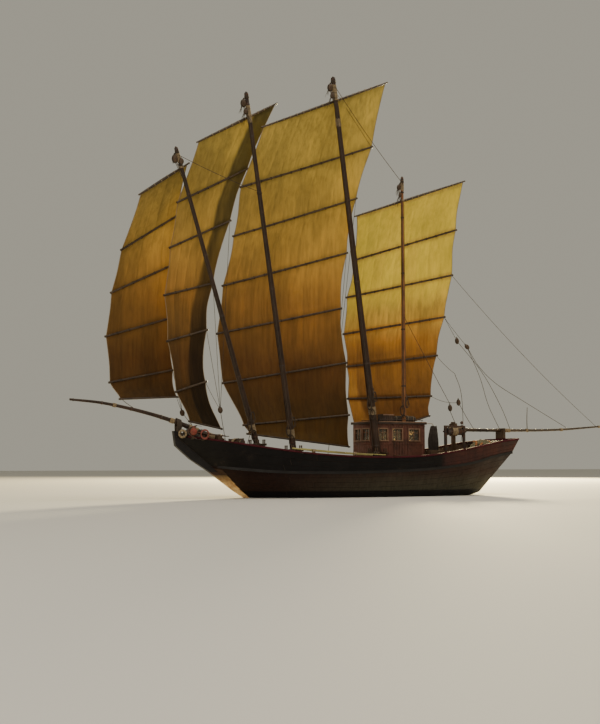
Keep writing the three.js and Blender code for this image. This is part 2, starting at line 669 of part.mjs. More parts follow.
function buildHouse() {
  const { fore, aft, port, starboard, eave, roof, lap } = HOUSE;
  const deckRoom = belowDeckTop();
  for (const [name, solid] of Object.entries(houseWalls())) {
    const holes = (WINDOWS[name] ?? []).map((span) => windowHole(name, span));
    add(`house_wall_${name}`, cut(solid, [...holes, deckRoom]), 'paint');
  }
  const lid = block(aft - lap, fore + lap, starboard - lap, port + lap, eave + GAP, eave + GAP + roof);
  add('house_roof', cut(lid, [mastBar(MASTS[3], RUNNING), mastBar(MASTS[2], 2 * RUNNING)]), 'roof');
  const top = eave + roof + 2 * GAP;
  add('roof_box', block(ROOF_BOX.x0, ROOF_BOX.x1, ROOF_BOX.y0, ROOF_BOX.y1, top, top + ROOF_BOX.high), 'roof');
  const pipeFoot = point(EXHAUST.x, EXHAUST.y, top);
  const pipeHead = point(EXHAUST.x, EXHAUST.y, top + EXHAUST.high);
  add('exhaust_pipe', rod(pipeFoot, pipeHead, EXHAUST.radius), 'iron');
}

// One pane of glass lies against the inside of each wall and covers all its windows.
function buildGlass() {
  const { fore, aft, port, starboard, wall } = HOUSE;
  const { thick, lap, foreInset, sideInset } = GLASS;
  const [low, high] = [WINDOWS.sill - lap, WINDOWS.head + lap];
  const inner = { fore: fore - wall - GAP, port: port - wall - GAP, starboard: starboard + wall + GAP };
  const [from, to] = [aft + sideInset, fore - sideInset];
  const panes = {
    fore: block(inner.fore - thick, inner.fore, starboard + foreInset, port - foreInset, low, high),
    port: block(from, to, inner.port - thick, inner.port, low, high),
    starboard: block(from, to, inner.starboard, inner.starboard + thick, low, high),
  };
  for (const [name, solid] of Object.entries(panes)) add(`house_glass_${name}`, solid, 'glass');
}

function buildDoor() {
  const { aft } = HOUSE;
  const { from, to, sill, head } = DOORWAY;
  const [outer, inner] = [aft - DOOR.off - DOOR.thick, aft - DOOR.off];
  const { before, after, below, above } = DOOR;
  const door = block(outer, inner, from - before, to + after, sill - below, head + above);
  const pane = block(outer, inner, from + DOOR_PANE.inset, to - DOOR_PANE.inset, DOOR_PANE.low, DOOR_PANE.high);
  const { off, out, from: near, to: far, low, high } = DOOR_GRIP;
  const grip = block(aft - out, aft - off, from + near, from + far, low, high);
  add('house_door', cut(door, [pane]).add(grip), 'roof');
}

function buildHelm() {
  const { x, y, z, radius, rim, hub, pin, spoke, spokes } = WHEEL;
  const fore = HOUSE.fore - HOUSE.wall - GAP - GLASS.thick - DESK.clear;
  const side = HOUSE.starboard + HOUSE.wall + DESK.starboard;
  const desk = block(x + DESK.aft, fore, side, DESK.port, deckZ(x), DESK.top);
  const [pinFore, pinAft] = [point(x + DESK.aft + pin, y, z), point(x - hub, y, z)];
  add('helm_desk', cut(desk, [belowDeckTop()]).add(shaft(pinFore, pinAft, pin)), 'paint');
  const centre = point(x, y, z);
  const boss = rod(point(x + hub / 2, y, z), point(x - hub / 2, y, z), hub);
  const bars = Array.from({ length: spokes }, (_, i) => {
    const angle = (i * 2 * Math.PI) / spokes + Math.PI / 2;
    const out = point(0, Math.cos(angle), Math.sin(angle));
    return rod(centre, centre.clone().addScaledVector(out, radius), spoke, spoke, SPOKE_SIDES);
  });
  const wheel = join([boss, ringAround(centre, point(1, 0, 0), radius, rim), ...bars]);
  add('steering_wheel', cut(wheel, [bearing(pinFore, pinAft, pin)]), 'spar');
}

// Deck gear

function buildHatches() {
  for (const hatch of HATCHES) {
    const { name, x0, x1, y0, y1, top } = hatch;
    const edge = COAMING.wide;
    const low = deckZ((x0 + x1) / 2) - COAMING.sunk;
    const frame = block(x0 - edge, x1 + edge, y0 - edge, y1 + edge, low, top);
    add(`${name}_coaming`, cut(frame, [hatchHole(hatch), belowDeckTop()]), 'deck');
    const foot = top + GAP;
    const lid = block(x0 - LID.lap, x1 + LID.lap, y0 - LID.lap, y1 + LID.lap, foot, foot + LID.thick);
    const [x, y] = [(x0 + x1) / 2, (y0 + y1) / 2];
    const { gripLong: long, gripWide: wide, gripHigh: high } = LID;
    const grip = block(x - long, x + long, y - wide, y + wide, foot, foot + LID.thick + high);
    add(`${name}_lid`, join([lid, grip]), 'deck');
  }
}

function buildEngine() {
  const well = HATCHES.find((hatch) => hatch.name === 'engine');
  const { length, width, height } = ENGINE;
  const x = (well.x0 + well.x1) / 2;
  const low = well.floor + GAP;
  add('engine_block', block(x - length / 2, x + length / 2, -width / 2, width / 2, low, low + height), 'engine');
}

function buildWindlass() {
  const { x, z, reach, half, cheek, over, drum, axle, foot } = WINDLASS;
  const deck = deckZ(x);
  const outer = reach + cheek;
  const sides = [block(x - half, x + half, reach, outer, deck, z + over)];
  sides.push(block(x - half, x + half, -outer, -reach, deck, z + over));
  const sill = block(x - half, x + half, -outer, outer, deck, deck + DECK_PLANK + foot);
  const hole = bearing(point(x, -outer, z), point(x, outer, z), axle);
  add('windlass_frame', cut(join([...sides, sill]), [hole, belowDeckTop()]), 'spar');
  const { gap, past, first, last, pin } = WINDLASS_HEAD;
  const barrel = rod(point(x, -reach + gap, z), point(x, reach - gap, z), drum);
  const bar = shaft(point(x, -outer - pin, z), point(x, outer + pin, z), axle);
  const heads = [-1, 1].map((side) => (
    rod(point(x, side * (outer + gap), z), point(x, side * (outer + past), z), first, last)
  ));
  add('windlass_drum', join([barrel, bar, ...heads]), 'iron');
}

function buildHauler() {
  const { x0, x1, y, z, drum, post, axle, top, foot, footHigh } = HAULER;
  const { low, high, gap, pin } = HAULER_BAR;
  const deck = deckZ(x1);
  const posts = [x0, x1 - post].map((x) => block(x, x + post, y - post / 2, y + post / 2, deck, top));
  const sill = block(x0, x1, y - foot, y + foot, deck, deck + DECK_PLANK + footHigh);
  const bar = block(x0, x1, y - post / 2, y + post / 2, top - low, top + high);
  const hole = bearing(point(x0, y, z), point(x1, y, z), axle);
  add('hauler_frame', cut(join([...posts, sill, bar]), [hole, belowDeckTop()]), 'iron');
  const barrel = rod(point(x0 + post + gap, y, z), point(x1 - post - gap, y, z), drum);
  const axleBar = shaft(point(x0 - pin, y, z), point(x1 + pin, y, z), axle);
  add('hauler_drum', join([barrel, axleBar]), 'iron');
}

// The net lies on the aft deck, clear of the tiller.
function buildNet() {
  const heap = new THREE.SphereGeometry(1, 14, 8);
  heap.scale(NET.long, NET.wide, NET.high);
  heap.translate(NET.x, NET.y, NET.z);
  const sides = deckSpace(-OUTSIDE, WELL_TOP, BULWARK + NET.clear);
  add('net_heap', largest(cut(toSolid(heap).intersect(sides), [belowDeckTop()])), 'net');
}

// Steering and drive

function buildRudder() {
  const { x, stock, fore, aft, top, bottom, thick, head } = RUDDER;
  const post = rod(point(x, 0, KEEL.bottom + KEEL.shoeDeep + GAP), point(x, 0, head), stock);
  const blade = block(aft, fore, -thick / 2, thick / 2, bottom, top);
  const { aft: armAft, fore: armFore, half, low, high } = TILLER;
  const tiller = block(x - armAft, x + armFore, -half, half, head - low, head - high);
  add('rudder', join([post, blade, tiller]), 'spar');
}

function buildPropeller() {
  const { x, z, hub, neck, hubLength, shaft: radius, shaftEnd, blades } = PROPELLER;
  const parts = [
    rod(point(x - hubLength / 2, 0, z), point(x + hubLength / 2, 0, z), neck, hub),
    shaft(point(x, 0, z), point(shaftEnd, 0, z), radius),
  ];
  for (let i = 0; i < blades; i += 1) {
    const leaf = new THREE.CylinderGeometry(BLADE.half, BLADE.half, BLADE.thick, MAST_SIDES);
    leaf.scale(1, 1, BLADE.stretch);
    leaf.rotateZ(Math.PI / 2 + BLADE.pitch);
    leaf.translate(0, 0, BLADE.middle);
    leaf.rotateX((i * 2 * Math.PI) / blades);
    leaf.translate(x, 0, z);
    parts.push(toSolid(leaf));
  }
  add('propeller', join(parts), 'bronze');
}

buildHull();
buildDeck();
buildRails();
buildKeel();
buildStem();
buildSpars();
buildSparRests();
SAILS.forEach(buildSail);
buildHouse();
buildGlass();
buildDoor();
buildHelm();
buildHatches();
buildEngine();
buildWindlass();
buildHauler();
buildNet();
buildRudder();
buildPropeller();

export default boat;
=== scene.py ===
# %% [markdown]
# A wooden sailing trawler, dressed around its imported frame.
# The boat is about 14 m long on deck. It has four raking masts, and each mast carries one lug sail
# that is stiffened by battens. All lengths are metres: +X is the bow, +Y is port, +Z is up, and z = 0
# is the water that the hull floats on.

# %% Load the frame
import json
import random
from math import atan, atan2, cos, pi, radians, sin, sqrt, tau

import bmesh
import bpy
from mathutils import Matrix, Vector


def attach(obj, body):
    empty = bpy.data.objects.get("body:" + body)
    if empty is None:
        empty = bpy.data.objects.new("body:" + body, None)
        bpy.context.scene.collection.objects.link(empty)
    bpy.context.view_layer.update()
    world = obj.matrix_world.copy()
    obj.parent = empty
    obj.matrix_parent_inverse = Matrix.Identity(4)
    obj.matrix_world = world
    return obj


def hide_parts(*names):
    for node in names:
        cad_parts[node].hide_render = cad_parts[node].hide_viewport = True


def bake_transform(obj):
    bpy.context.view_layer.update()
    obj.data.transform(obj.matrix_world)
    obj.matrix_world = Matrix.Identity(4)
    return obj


def vec(x, y, z):
    return Vector((x, y, z))


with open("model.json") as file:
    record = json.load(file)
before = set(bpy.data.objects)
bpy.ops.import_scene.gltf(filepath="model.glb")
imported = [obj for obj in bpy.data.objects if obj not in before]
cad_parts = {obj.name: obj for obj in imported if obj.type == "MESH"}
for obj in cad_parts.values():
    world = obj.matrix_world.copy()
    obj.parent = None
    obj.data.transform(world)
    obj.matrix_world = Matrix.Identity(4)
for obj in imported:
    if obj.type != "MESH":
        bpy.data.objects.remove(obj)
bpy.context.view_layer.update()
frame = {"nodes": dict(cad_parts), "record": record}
nodes = frame["nodes"]
body_of = {node: body for body, members in frame["record"]["behaviour"]["bodies"].items() for node in members}
dice = random.Random(41)

# %% [markdown]
# The camera stands low over the water, off the port bow, as in the photograph. The direction comes
# from the way that the hull's length is foreshortened, and the height from the horizon, which cuts
# the hull just over its side. The image is 600 by 724, and its focal length is counted in pixels.

# %% Camera
IMAGE = (600, 724)
FOCAL_PIXELS = 1085
SENSOR = 36
EYE = vec(20.5, 35.507, 1.2)
FORWARD = vec(-0.5, -0.866, 0).normalized()
RIGHT = vec(-0.866, 0.5, 0).normalized()
ORIGIN_COLUMN = 351.5           # the pixel column of the hull's middle
HORIZON_ROW = 464
AHEAD, ABEAM, UP = vec(1, 0, 0), vec(0, 1, 0), vec(0, 0, 1)     # to the bow, to port, up

yaw = atan((ORIGIN_COLUMN - IMAGE[0] / 2) / FOCAL_PIXELS)
pitch = atan((HORIZON_ROW - IMAGE[1] / 2) / FOCAL_PIXELS)
level = FORWARD * cos(yaw) - RIGHT * sin(yaw)
aim = level * cos(pitch) + UP * sin(pitch)
camera = bpy.data.objects.new("camera", bpy.data.cameras.new("camera"))
camera.data.lens = FOCAL_PIXELS * SENSOR / IMAGE[1]
camera.data.sensor_width = SENSOR
camera.data.clip_end = 400
camera.location = EYE
camera.rotation_euler = aim.to_track_quat("-Z", "Y").to_euler()
bpy.context.scene.collection.objects.link(camera)
bpy.context.scene.camera = camera
print("camera: lens", round(camera.data.lens, 2), "mm at", tuple(EYE))

# %% [markdown]
# The boat is afloat, so the floor of the set is the water's plane. The light is a studio's: one
# large soft lamp low behind the sails, because thin canvas looks right only when light comes
# through it, one broad lamp in front to show the hull, and one overhead.

# %% Set and light
FLOOR = 160


def add_floor():
    bm = bmesh.new()
    bmesh.ops.create_grid(bm, x_segments=1, y_segments=1, size=FLOOR)
    mesh = bpy.data.meshes.new("floor")
    bm.to_mesh(mesh)
    bm.free()
    floor = bpy.data.objects.new("floor", mesh)
    material = bpy.data.materials.new("floor")
    material.use_nodes = True
    shader = material.node_tree.nodes["Principled BSDF"]
    shader.inputs["Base Color"].default_value = (0.62, 0.60, 0.55, 1)
    shader.inputs["Roughness"].default_value = 0.85
    mesh.materials.append(material)
    bpy.context.scene.collection.objects.link(floor)


def add_lamp(name, place, target, size, watts, colour):
    data = bpy.data.lights.new(name, "AREA")
    data.shape = "DISK"
    data.size = size
    data.energy = watts
    data.color = colour
    lamp = bpy.data.objects.new(name, data)
    lamp.location = place
    lamp.rotation_euler = (Vector(target) - Vector(place)).to_track_quat("-Z", "Y").to_euler()
    bpy.context.scene.collection.objects.link(lamp)


LAMPS = [
    # name, place, target, size, watts, colour
    ("back", (-36, -46, 17), (0, 0, 7), 9, 98000, (1.0, 0.84, 0.47)),
    ("front", (30, 38, 26), (0, 0, 4), 26, 7600, (1.0, 0.94, 0.84)),
    ("top", (-6, 4, 42), (0, 0, 3), 24, 9000, (1.0, 0.93, 0.82)),
]
add_floor()
for lamp in LAMPS:
    add_lamp(*lamp)
world = bpy.data.worlds.new("studio")
world.use_nodes = True
world.node_tree.nodes["Background"].inputs["Color"].default_value = (0.93, 0.88, 0.72, 1)
world.node_tree.nodes["Background"].inputs["Strength"].default_value = 0.40
bpy.context.scene.world = world
print("lamps:", len(LAMPS))

# %% [markdown]
# A piece is a bmesh that operators have shaped. Three tools repeat in most of them: a circle that
# is extruded along a path makes a spar or a rope, a ring that is extruded through stations makes a
# plank, and a bevelled cube makes a block of timber. show() turns the result into an object, gives
# it its material and lets it ride on its body.

# %% Tools for shapes
def show(bm, name, finish, body="boat", slot=None, stands_for=(), angle=40):
    bmesh.ops.recalc_face_normals(bm, faces=bm.faces[:])
    mesh = bpy.data.meshes.new(name)
    bm.to_mesh(mesh)
    bm.free()
    mesh.materials.append(finish.material)
    mesh.shade_smooth()
    mesh.set_sharp_from_angle(angle=radians(angle))
    piece = bpy.data.objects.new(name, mesh)
    bpy.context.scene.collection.objects.link(piece)
    if body:
        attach(piece, body)
    slot = slot or finish.slot
    if stands_for:
        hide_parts(*stands_for)
    print(name, "faces", len(mesh.polygons), "rides on", body)
    return piece


def only(kind, found):
    return [item for item in found if isinstance(item, kind)]


def fresh_ring(made):
    verts = only(bmesh.types.BMVert, made)
    new = set(verts)
    edges = [e for e in only(bmesh.types.BMEdge, made) if e.verts[0] in new and e.verts[1] in new]
    return verts, edges


def edges_of(made):
    return list({e for v in made["verts"] for e in v.link_edges})


def blanks(count):
    return [bmesh.new() for _ in range(count)]


def axes(x, y, z):
    return Matrix((x, y, z)).transposed().to_4x4()


def frames_along(path):
    """Matrices that carry a ring along a path without twisting it."""
    last = len(path) - 1
    tangents = [(path[min(i + 1, last)] - path[max(i - 1, 0)]).normalized() for i in range(last + 1)]
    side = tangents[0].orthogonal().normalized()
    result = []
    for place, tangent in zip(path, tangents):
        side = (side - tangent * side.dot(tangent)).normalized()
        result.append(Matrix.Translation(place) @ axes(side, tangent.cross(side), tangent))
    return result


def apart(build):
    """Lets a tool work in a small bmesh of its own, which is then added to the big one. It is faster."""
    def tool(bm, *values, **settings):
        small = bmesh.new()
        build(small, *values, **settings)
        mesh = bpy.data.meshes.new("apart")
        small.to_mesh(mesh)
        small.free()
        bm.from_mesh(mesh)
        bpy.data.meshes.remove(mesh)
    return tool


@apart
def sweep(bm, path, radius, sides=10):
    """Extrudes a circle along a path. radius is one number, or one for each point."""
    radii = radius if isinstance(radius, list) else [radius] * len(path)
    places = [turn @ Matrix.Diagonal((r, r, 1, 1)) for turn, r in zip(frames_along(path), radii)]
    start = bmesh.ops.create_circle(bm, cap_ends=False, segments=sides, radius=1, matrix=places[0])
    first = ring = edges_of(start)
    for before, after in zip(places, places[1:]):
        verts, ring = fresh_ring(bmesh.ops.extrude_edge_only(bm, edges=ring)["geom"])
        bmesh.ops.transform(bm, matrix=after @ before.inverted(), verts=verts)
    bmesh.ops.holes_fill(bm, edges=first + ring, sides=sides)


def extrude_through(bm, rings, closed=True):
    """Carries a row of vertices through stations, each a list of as many points."""
    verts = [bm.verts.new(p) for p in rings[0]]
    count = len(verts)
    pairs = count if closed else count - 1
    edges = [bm.edges.new((verts[i], verts[(i + 1) % count])) for i in range(pairs)]
    first = edges
    grid = [verts]
    for points in rings[1:]:
        made = bmesh.ops.extrude_edge_only(bm, edges=edges)["geom"]
        new_verts, edges = fresh_ring(made)
        new = set(new_verts)
        ahead = []
        for vert in verts:
            ahead.append(next(e.other_vert(vert) for e in vert.link_edges if e.other_vert(vert) in new))
        verts = ahead
        for vert, point in zip(verts, points):
            vert.co = point
        grid.append(verts)
    if closed:
        bmesh.ops.holes_fill(bm, edges=first + edges, sides=count)
    return grid


def spun(bm, geom, centre, axis, steps):
    bmesh.ops.spin(
        bm, geom=geom, cent=centre, axis=axis, dvec=(0, 0, 0), angle=tau, steps=steps, use_merge=True,
        use_duplicate=False,
    )


@apart
def hoop(bm, centre, axis, radius, wire, steps=24, sides=8, tall=1.0):
    """A ring round an axis: a small circle is spun all the way round."""
    axis = axis.normalized()
    out = axis.orthogonal().normalized()
    place = Matrix.Translation(centre + out * radius) @ axes(out, axis, out.cross(axis))
    circle = bmesh.ops.create_circle(
        bm, cap_ends=False, segments=sides, radius=1,
        matrix=place @ Matrix.Diagonal((wire, wire * tall, 1, 1)),
    )
    spun(bm, circle["verts"] + edges_of(circle), centre, axis, steps)


@apart
def turned(bm, centre, axis, profile, steps=20):
    """A lathe: profile is a list of (radius, height along the axis), from one end to the other."""
    axis = axis.normalized()
    out = axis.orthogonal().normalized()
    verts = [bm.verts.new(centre + out * radius + axis * height) for radius, height in profile]
    edges = [bm.edges.new(pair) for pair in zip(verts, verts[1:])]
    spun(bm, verts + edges, centre, axis, steps)
    bmesh.ops.remove_doubles(bm, verts=bm.verts[:], dist=1e-5)


def ease(bm, edges, width, segments=2):
    return bmesh.ops.bevel(
        bm, geom=edges, offset=width, offset_type="OFFSET", segments=segments, profile=0.5,
        affect="EDGES", clamp_overlap=True, material=-1,
    )


@apart
def beam(bm, size, place, bevel=0.004, segments=2):
    """A timber of a given size, whose middle and direction are a matrix."""
    cube = bmesh.ops.create_cube(bm, size=1, matrix=place @ Matrix.Diagonal((*size, 1)))
    ease(bm, edges_of(cube), bevel, segments)


def block(bm, low, high, bevel=0.004, segments=2):
    low, high = Vector(low), Vector(high)
    beam(bm, high - low, Matrix.Translation((low + high) / 2), bevel, segments)


def between(start, end):
    """A matrix at the middle of two points, its X along the line between them."""
    along = (end - start).normalized()
    side = UP.cross(along)
    side = side.normalized() if side.length > 0.01 else ABEAM
    return Matrix.Translation((start + end) / 2) @ axes(along, side, along.cross(side))


@apart
def stud(bm, place, radius):
    bmesh.ops.create_uvsphere(bm, u_segments=8, v_segments=5, radius=radius, matrix=Matrix.Translation(place))


def curve_point(points, t):
    """A Catmull-Rom curve through the points, at t from 0 to 1."""
    last = len(points) - 1
    i = min(int(t * last), last - 1)
    w = t * last - i
    p1, p2 = points[i], points[i + 1]
    p0 = points[i - 1] if i > 0 else 2 * p1 - p2
    p3 = points[i + 2] if i + 2 <= last else 2 * p2 - p1
    start, end = (p2 - p0) / 2, (p3 - p1) / 2
    return p1 + start * w + (3 * (p2 - p1) - 2 * start - end) * w**2 + (2 * (p1 - p2) + start + end) * w**3


def sampled(points, steps):
    return [curve_point(points, s / steps) for s in range(steps + 1)]


print("tools ready")

# %% [markdown]
# A CAD solid has the right shape but razor edges. softened() copies it, merges its loose triangles,
# dissolves the flat ones and bevels what is sharp, and cut_grooves() lays seams in it: a plane cuts
# the faces, the cut is bevelled to a narrow strip, and the strip's middle is pushed in.

# %% Tools for timber that follows a solid
FLAT_ANGLE, SHARP_ANGLE = radians(0.3), radians(30)


def copied(node):
    bm = bmesh.new()
    bm.from_mesh(nodes[node].data)
    bmesh.ops.remove_doubles(bm, verts=bm.verts[:], dist=1e-5)
    bmesh.ops.dissolve_limit(
        bm, angle_limit=FLAT_ANGLE, use_dissolve_boundaries=False, verts=bm.verts[:], edges=bm.edges[:],
    )
    return bm


def soften(bm, width):
    edges = [e for e in bm.edges if len(e.link_faces) == 2 and e.calc_face_angle(0) > SHARP_ANGLE]
    ease(bm, edges, width)


def cut_grooves(bm, axis, places, width, depth, wanted):
    axis = Vector(axis)
    cuts = []
    for place in places:
        faces = [f for f in bm.faces if wanted(f)]
        edges = {e for f in faces for e in f.edges}
        verts = {v for f in faces for v in f.verts}
        made = bmesh.ops.bisect_plane(
            bm, geom=faces + list(edges) + list(verts), dist=1e-5, plane_co=axis * place, plane_no=axis,
        )
        cuts += only(bmesh.types.BMEdge, made["geom_cut"])
    if not cuts:
        return
    made = ease(bm, cuts, width / 2)
    bm.normal_update()
    strips = set(made["faces"])
    for vert in {v for f in strips for v in f.verts}:
        if all(f in strips for f in vert.link_faces):
            vert.co -= vert.normal * depth


FLAT_ENOUGH = 18                      # degrees: planks keep flat faces beside their eased edges


def softened(node, finish, width=0.006, grooves=(), slot=None):
    """A copy of a CAD solid with eased edges and seams, in the solid's place."""
    bm = copied(node)
    for axis, places, wide, deep, wanted in grooves:
        cut_grooves(bm, axis, places, wide, deep, wanted)
    soften(bm, width)
    return show(bm, f"{node}_form", finish, body_of[node], slot, [node], FLAT_ENOUGH)


def spaced(low, high, step, wobble=0.0):
    count = max(1, round((high - low) / step))
    return [low + (high - low) * k / count + dice.uniform(-wobble, wobble) for k in range(1, count)]


print("timber tools ready")

# %% [markdown]
# Materials are made of noise and ramps on Object coordinates, so that grain keeps its size on every
# piece. A Finish is a material, the name of a slot of the record, which is kept but not used, and short
# methods that each add one node and fill its sockets, either with a value or with a link.

# %% Tools for materials
class Finish:
    def __init__(self, name, slot, roughness, metallic=0.0):
        self.slot = slot
        self.material = bpy.data.materials.new(name)
        self.material.use_nodes = True
        self.tree = self.material.node_tree
        self.shader = self.tree.nodes["Principled BSDF"]
        self.set("Roughness", roughness)
        self.set("Metallic", metallic)

    def fill(self, socket, value):
        if isinstance(value, bpy.types.NodeSocket):
            self.tree.links.new(value, socket)
        else:
            socket.default_value = value

    def set(self, name, value):
        self.fill(self.shader.inputs[name], value)

    def node(self, kind, inputs=None, **settings):
        node = self.tree.nodes.new(kind)
        for name, value in settings.items():
            setattr(node, name, value)
        for name, value in (inputs or {}).items():
            self.fill(node.inputs[name], value)
        return node

    def place(self, stretch=(1, 1, 1)):
        """Object coordinates, with the pattern drawn out along an axis where its stretch is small."""
        where = self.node("ShaderNodeTexCoord").outputs["Object"]
        return self.node("ShaderNodeMapping", {"Vector": where, "Scale": stretch}).outputs["Vector"]

    def noise(self, where, scale, detail=6.0, rough=0.6, distortion=0.0):
        return self.node("ShaderNodeTexNoise", {
            "Vector": where, "Scale": scale, "Detail": detail, "Roughness": rough, "Distortion": distortion,
        }).outputs["Fac"]

    def ramp(self, factor, stops):
        node = self.node("ShaderNodeValToRGB", {"Fac": factor})
        elements = node.color_ramp.elements
        while len(elements) < len(stops):
            elements.new(0.5)
        for element, (place, colour) in zip(elements, stops):
            element.position = place
            element.color = (*colour, 1) if hasattr(colour, "__len__") else (colour, colour, colour, 1)
        return node.outputs["Color"]

    def mixed(self, factor, first, second, kind="MIX"):
        node = self.node("ShaderNodeMix", data_type="RGBA", blend_type=kind, clamp_result=True)
        self.fill(node.inputs[0], factor)
        for socket, value in ((node.inputs[6], first), (node.inputs[7], second)):
            self.fill(socket, (*value, 1) if isinstance(value, tuple) else value)
        return node.outputs[2]

    def shaded(self, factor, colour, pattern, stops):
        """The colour multiplied by a ramp of greys over a pattern."""
        return self.mixed(factor, colour, self.ramp(pattern, stops), "MULTIPLY")

    def maths(self, operation, *values):
        node = self.node("ShaderNodeMath", operation=operation)
        for socket, value in zip(node.inputs, values):
            self.fill(socket, value)
        return node.outputs[0]

    def spread(self, value, low, high):
        """0 below low, 1 above high, straight between them."""
        return self.node("ShaderNodeMapRange", {"Value": value, "From Min": low, "From Max": high}).outputs[0]

    def parts(self, where):
        return self.node("ShaderNodeSeparateXYZ", {"Vector": where}).outputs

    def bump(self, height, distance, strength=0.6):
        node = self.node("ShaderNodeBump", {"Height": height, "Distance": distance, "Strength": strength})
        self.set("Normal", node.outputs["Normal"])


print("material tools ready")

# %% [markdown]
# Timber shows long grain, darker where the pores are, and broad stains that hide the pattern's
# repeat. Paint on timber shows the grain as relief and has worn through in spots. One function
# makes both: worn is the share of the surface where the paint has gone.

# %% Wood and painted wood
def make_wood(name, slot, dark, light, stretch, roughness):
    m = Finish(name, slot, roughness)
    fine = m.noise(m.place(stretch), 9.0, 8.0, 0.65, 0.6)
    colour = m.ramp(fine, [(0.30, dark), (0.56, light), (0.74, tuple(c * 1.12 for c in light))])
    broad = m.noise(m.place(), 1.3, 4.0, 0.55)
    m.set("Base Color", m.shaded(1.0, colour, broad, [(0.34, 0.45), (0.62, 1.0)]))
    m.set("Roughness", m.ramp(fine, [(0.32, min(1, roughness + 0.14)), (0.68, roughness - 0.06)]))
    m.set("Specular IOR Level", 0.32)
    m.bump(fine, 0.0012)
    return m


def make_paint(name, slot, paint, wood, worn, roughness=0.5, stretch=(0.5, 4, 4), sheen=0.35):
    m = Finish(name, slot, roughness)
    fine = m.noise(m.place(stretch), 11.0, 8.0, 0.65, 0.4)
    broad = m.noise(m.place(), 2.1, 6.0, 0.7)
    shade, bright = (tuple(min(1, c * share) for c in paint) for share in (0.62, 1.18))
    faded = m.ramp(broad, [(0.30, shade), (0.70, bright)])
    chips = m.maths("ADD", m.maths("MULTIPLY", fine, 0.55), m.maths("MULTIPLY", broad, 0.45))
    gone = m.ramp(chips, [(0.30 + 0.30 * worn, 1.0), (0.36 + 0.30 * worn, 0.0)])
    m.set("Base Color", m.mixed(gone, faded, wood))
    m.set("Roughness", m.ramp(chips, [(0.35, 0.85), (0.60, roughness)]))
    m.set("Specular IOR Level", sheen)
    m.bump(chips, 0.0008)
    return m


deck_wood = make_wood(
    "deck_wood", "deck_planks", (0.075, 0.052, 0.032), (0.21, 0.155, 0.10), stretch=(0.4, 7, 7),
    roughness=0.8,
)
spar_wood = make_wood(
    "spar_wood", "spar_wood", (0.014, 0.007, 0.005), (0.060, 0.030, 0.017), stretch=(5, 5, 0.25),
    roughness=0.5,
)
# A lighter copy of the spar wood: painted light on the mizzen mast, where the light catches it.
painted_lit_spar_wood = make_wood(
    "painted_lit_spar_wood", "spar_wood", (0.17, 0.062, 0.022), (0.36, 0.145, 0.050), stretch=(5, 5, 0.25),
    roughness=0.5,
)
block_wood = make_wood(
    "block_wood", "spar_wood", (0.040, 0.024, 0.015), (0.120, 0.072, 0.040), stretch=(6, 6, 0.5),
    roughness=0.6,
)
rail_paint = make_paint(
    "rail_paint", "rail_paint", (0.072, 0.014, 0.020), (0.085, 0.045, 0.03), worn=0.27, roughness=0.85,
    sheen=0.10,
)
wale_paint = make_paint(
    "wale_paint", "dark_strake", (0.010, 0.008, 0.008), (0.06, 0.035, 0.025), worn=0.16, roughness=0.42,
)
house_paint = make_paint(
    "house_paint", "house_paint", (0.140, 0.052, 0.034), (0.055, 0.030, 0.020), worn=0.42,
    stretch=(4, 4, 0.5),
)
trim_paint = make_paint(
    "trim_paint", "house_paint", (0.27, 0.155, 0.095), (0.09, 0.055, 0.035), worn=0.36, stretch=(4, 4, 0.5),
)
roof_paint = make_paint("roof_paint", "roof_paint", (0.050, 0.031, 0.024), (0.11, 0.07, 0.048), worn=0.22)
door_paint = make_paint(
    "door_paint", "door_paint", (0.12, 0.050, 0.034), (0.10, 0.065, 0.045), worn=0.26, stretch=(4, 4, 0.5),
)
print("woods and paints: 10")

# %% [markdown]
# The side below the dark wale is painted in bands: brown, then an olive grey that is lighter partly as
# painted light from the sky, a black stripe at the water and a dull red below it. The bands are heights,
# so the colour reads Object Z through a ramp and a little noise moves its borders. The bulwark is black
# forward and pinkish brown from the wheelhouse aft, so it reads Object X in the same way.

# %% Hull paint
BAND_LOW, BAND_HIGH = -0.9, 1.5
BANDS = [
    # height, colour; the olive grey from 0.29 m to 0.62 m is partly painted sky light
    (-0.9, (0.115, 0.035, 0.022)), (-0.03, (0.125, 0.040, 0.026)), (0.0, (0.006, 0.006, 0.006)),
    (0.24, (0.006, 0.005, 0.005)), (0.29, (0.056, 0.049, 0.030)), (0.62, (0.050, 0.038, 0.023)),
    (0.95, (0.034, 0.014, 0.009)), (1.5, (0.018, 0.007, 0.006)),
]
BULWARK_CHANGE = (-3.15, -2.85)      # from here aft the bulwark is pinkish brown
REDDER = (-0.5, 3.5)                  # the side darkens to red brown towards the bow


def banded(m, height, wander):
    moved = m.maths("ADD", height, m.maths("MULTIPLY", wander, 0.05))
    factor = m.spread(moved, BAND_LOW, BAND_HIGH)
    stops = [((z - BAND_LOW) / (BAND_HIGH - BAND_LOW), colour) for z, colour in BANDS]
    return m.ramp(factor, stops)


